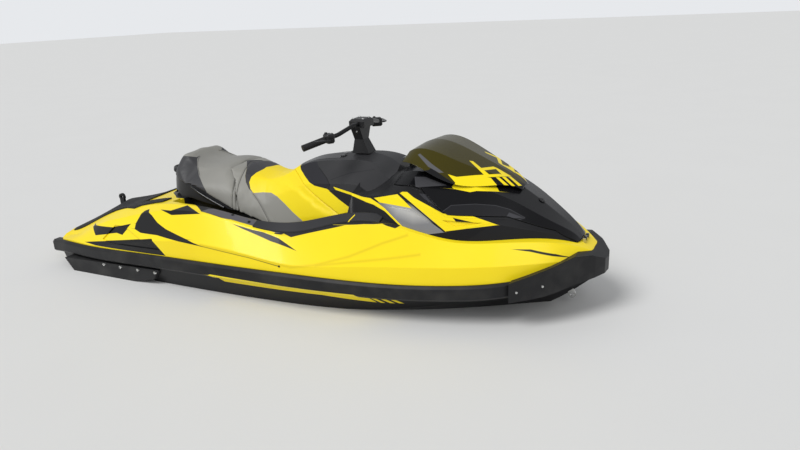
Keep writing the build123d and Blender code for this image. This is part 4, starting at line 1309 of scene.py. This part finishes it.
    def build(self) -> None:
        """Makes the pads and their fittings."""
        carry_over("seat_carrier", "grab_handle")
        self.pad("seat_front", "seat_front_pad", "seat_vinyl", (SEAM_FRONT, SEAM_SECOND))
        rear = self.pad("seat_bolster", "seat_rear_pad", "bolster_vinyl", (SEAM_FIRST, SEAM_SECOND))
        self.piping(rear)
        rods("seat_struts", self.strut_line, self.strut_radius, "seat", "lid_black")


@dataclass
class Topsides:
    """Hull, deck, rails, sponsons, mats and their fasteners.

    Places of side fasteners are x and z, those of plugs x and y. Low_head is height over radius.
    """

    sponson_bolts: tuple[Spot, ...] = ((-1.144, 0.077), (-1.008, 0.078), (-0.869, 0.079), (-0.735, 0.080))
    sponson_bolt: float = 0.011
    line_screws: tuple[Spot, ...] = ((0.156, 0.244),)
    line_screw: float = 0.006
    bow_screws: tuple[Spot, ...] = ((1.318, 0.197), (1.42, 0.215))
    bow_screw: float = 0.007
    low_head: float = 0.65
    rim_plugs: tuple[Spot, ...] = ((-0.2185, 0.45), (-0.099, 0.468))
    rim_plug: float = 0.0085
    rim_plug_height: float = 0.005

    def build(self) -> None:
        """Dresses the nodes and sets the fasteners."""
        carry_over("hull", "deck", "bumper_rails", "bow_bumper", "rear_grilles", "ride_plate", "sponsons",
                   "rear_deck_mat", "footwell_mats", "gunwale_trims", "pedestal_trims", "bow_eye",
                   "stern_eyes", "tow_eye", "drain_plugs")
        for name, node, spots, radius, slot in (
                ("sponson_bolts", "sponsons", self.sponson_bolts, self.sponson_bolt, "stainless"),
                ("line_screws", "deck", self.line_screws, self.line_screw, "trim_black"),
                ("bow_screws", "bow_bumper", self.bow_screws, self.bow_screw, "stainless")):
            set_heads(name, node, side_rays(spots), radius, radius * self.low_head, slot)
        set_heads("rim_plugs", "deck", [((x, side * y, 1.0), DOWN) for x, y in self.rim_plugs
                                        for side in BOTH_SIDES],
                  self.rim_plug, self.rim_plug_height, "trim_black")


@dataclass
class Bow:
    """Hood, cowl, fairings and wind deflector."""

    cap_place: Place = (1.330, 0.0, 1.2)
    cap_radius: float = 0.020
    cap_height: float = 0.006
    cap_sides: int = 40

    def build(self) -> None:
        """Dresses the bow's nodes and sets the bare round cap on the hood's nose."""
        carry_over("hood", "hood_hinge", "cowl", "fairing_panels", "fairing_bands", "fairing_grilles",
                   "wind_deflector")
        set_heads("hood_cap", "hood", [(self.cap_place, DOWN)], self.cap_radius, self.cap_height,
                  "trim_black", self.cap_sides)


@dataclass
class Cockpit:
    """Console, glovebox lid, gauge and steering with its switches.

    Switches stand round the middle of a pod in plan. High_head is height over radius.
    """

    above: float = 1.2
    switch_middle: Spot = (0.285, 0.24)
    switches: tuple[Spot, ...] = ((0.0, -0.02), (0.0, 0.02), (0.025, 0.0))
    switch_radius: float = 0.009
    pad_bolts: tuple[Spot, ...] = ((0.318, -0.034), (0.318, 0.034), (0.376, -0.034), (0.376, 0.034))
    riser_bolts: tuple[Spot, ...] = ((0.345, 0.70), (0.345, 0.835))
    bolt_radius: float = 0.0065
    high_head: float = 0.7

    def build(self) -> None:
        """Dresses the nodes and adds the small controls."""
        carry_over("console", "glovebox_lid", "gauge_display", "steering_riser", "handlebar", "grips",
                   "switch_pods", "levers", "bar_pad")
        x, y = self.switch_middle
        switch_rays = [((x + dx, side * (y + dy), self.above), DOWN) for side in BOTH_SIDES
                       for dx, dy in self.switches]
        pad_rays = [((*spot, self.above), DOWN) for spot in self.pad_bolts]
        riser_rays = [((x, side * 1.0, z), (0.0, -side, 0.0)) for side in BOTH_SIDES
                      for x, z in self.riser_bolts]
        for name, node, rays, radius, slot in (
                ("pod_switches", "switch_pods", switch_rays, self.switch_radius, "trim_black"),
                ("pad_bolts", "bar_pad", pad_rays, self.bolt_radius, "stainless"),
                ("riser_bolts", "steering_riser", riser_rays, self.bolt_radius, "stainless")):
            set_heads(name, node, rays, radius, radius * self.high_head, slot)


@dataclass
class Drive:
    """Jet pump, nozzle, bucket, impeller and shaft, and what lies inside the craft."""

    def build(self) -> None:
        """Dresses the nodes."""
        carry_over("jet_pump", "steering_nozzle", "reverse_bucket", "impeller", "drive_shaft",
                   "intake_grate", "engine", "locker_bin")


def main() -> None:
    """Builds every sub-assembly, then the studio."""
    logging.basicConfig(level=logging.INFO, format="%(message)s")
    clear_start_file()
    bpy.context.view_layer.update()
    for group in (Topsides(), Seat(), Bow(), Cockpit(), Drive(), Studio()):
        group.build()


if __name__ == "__main__":
    main()
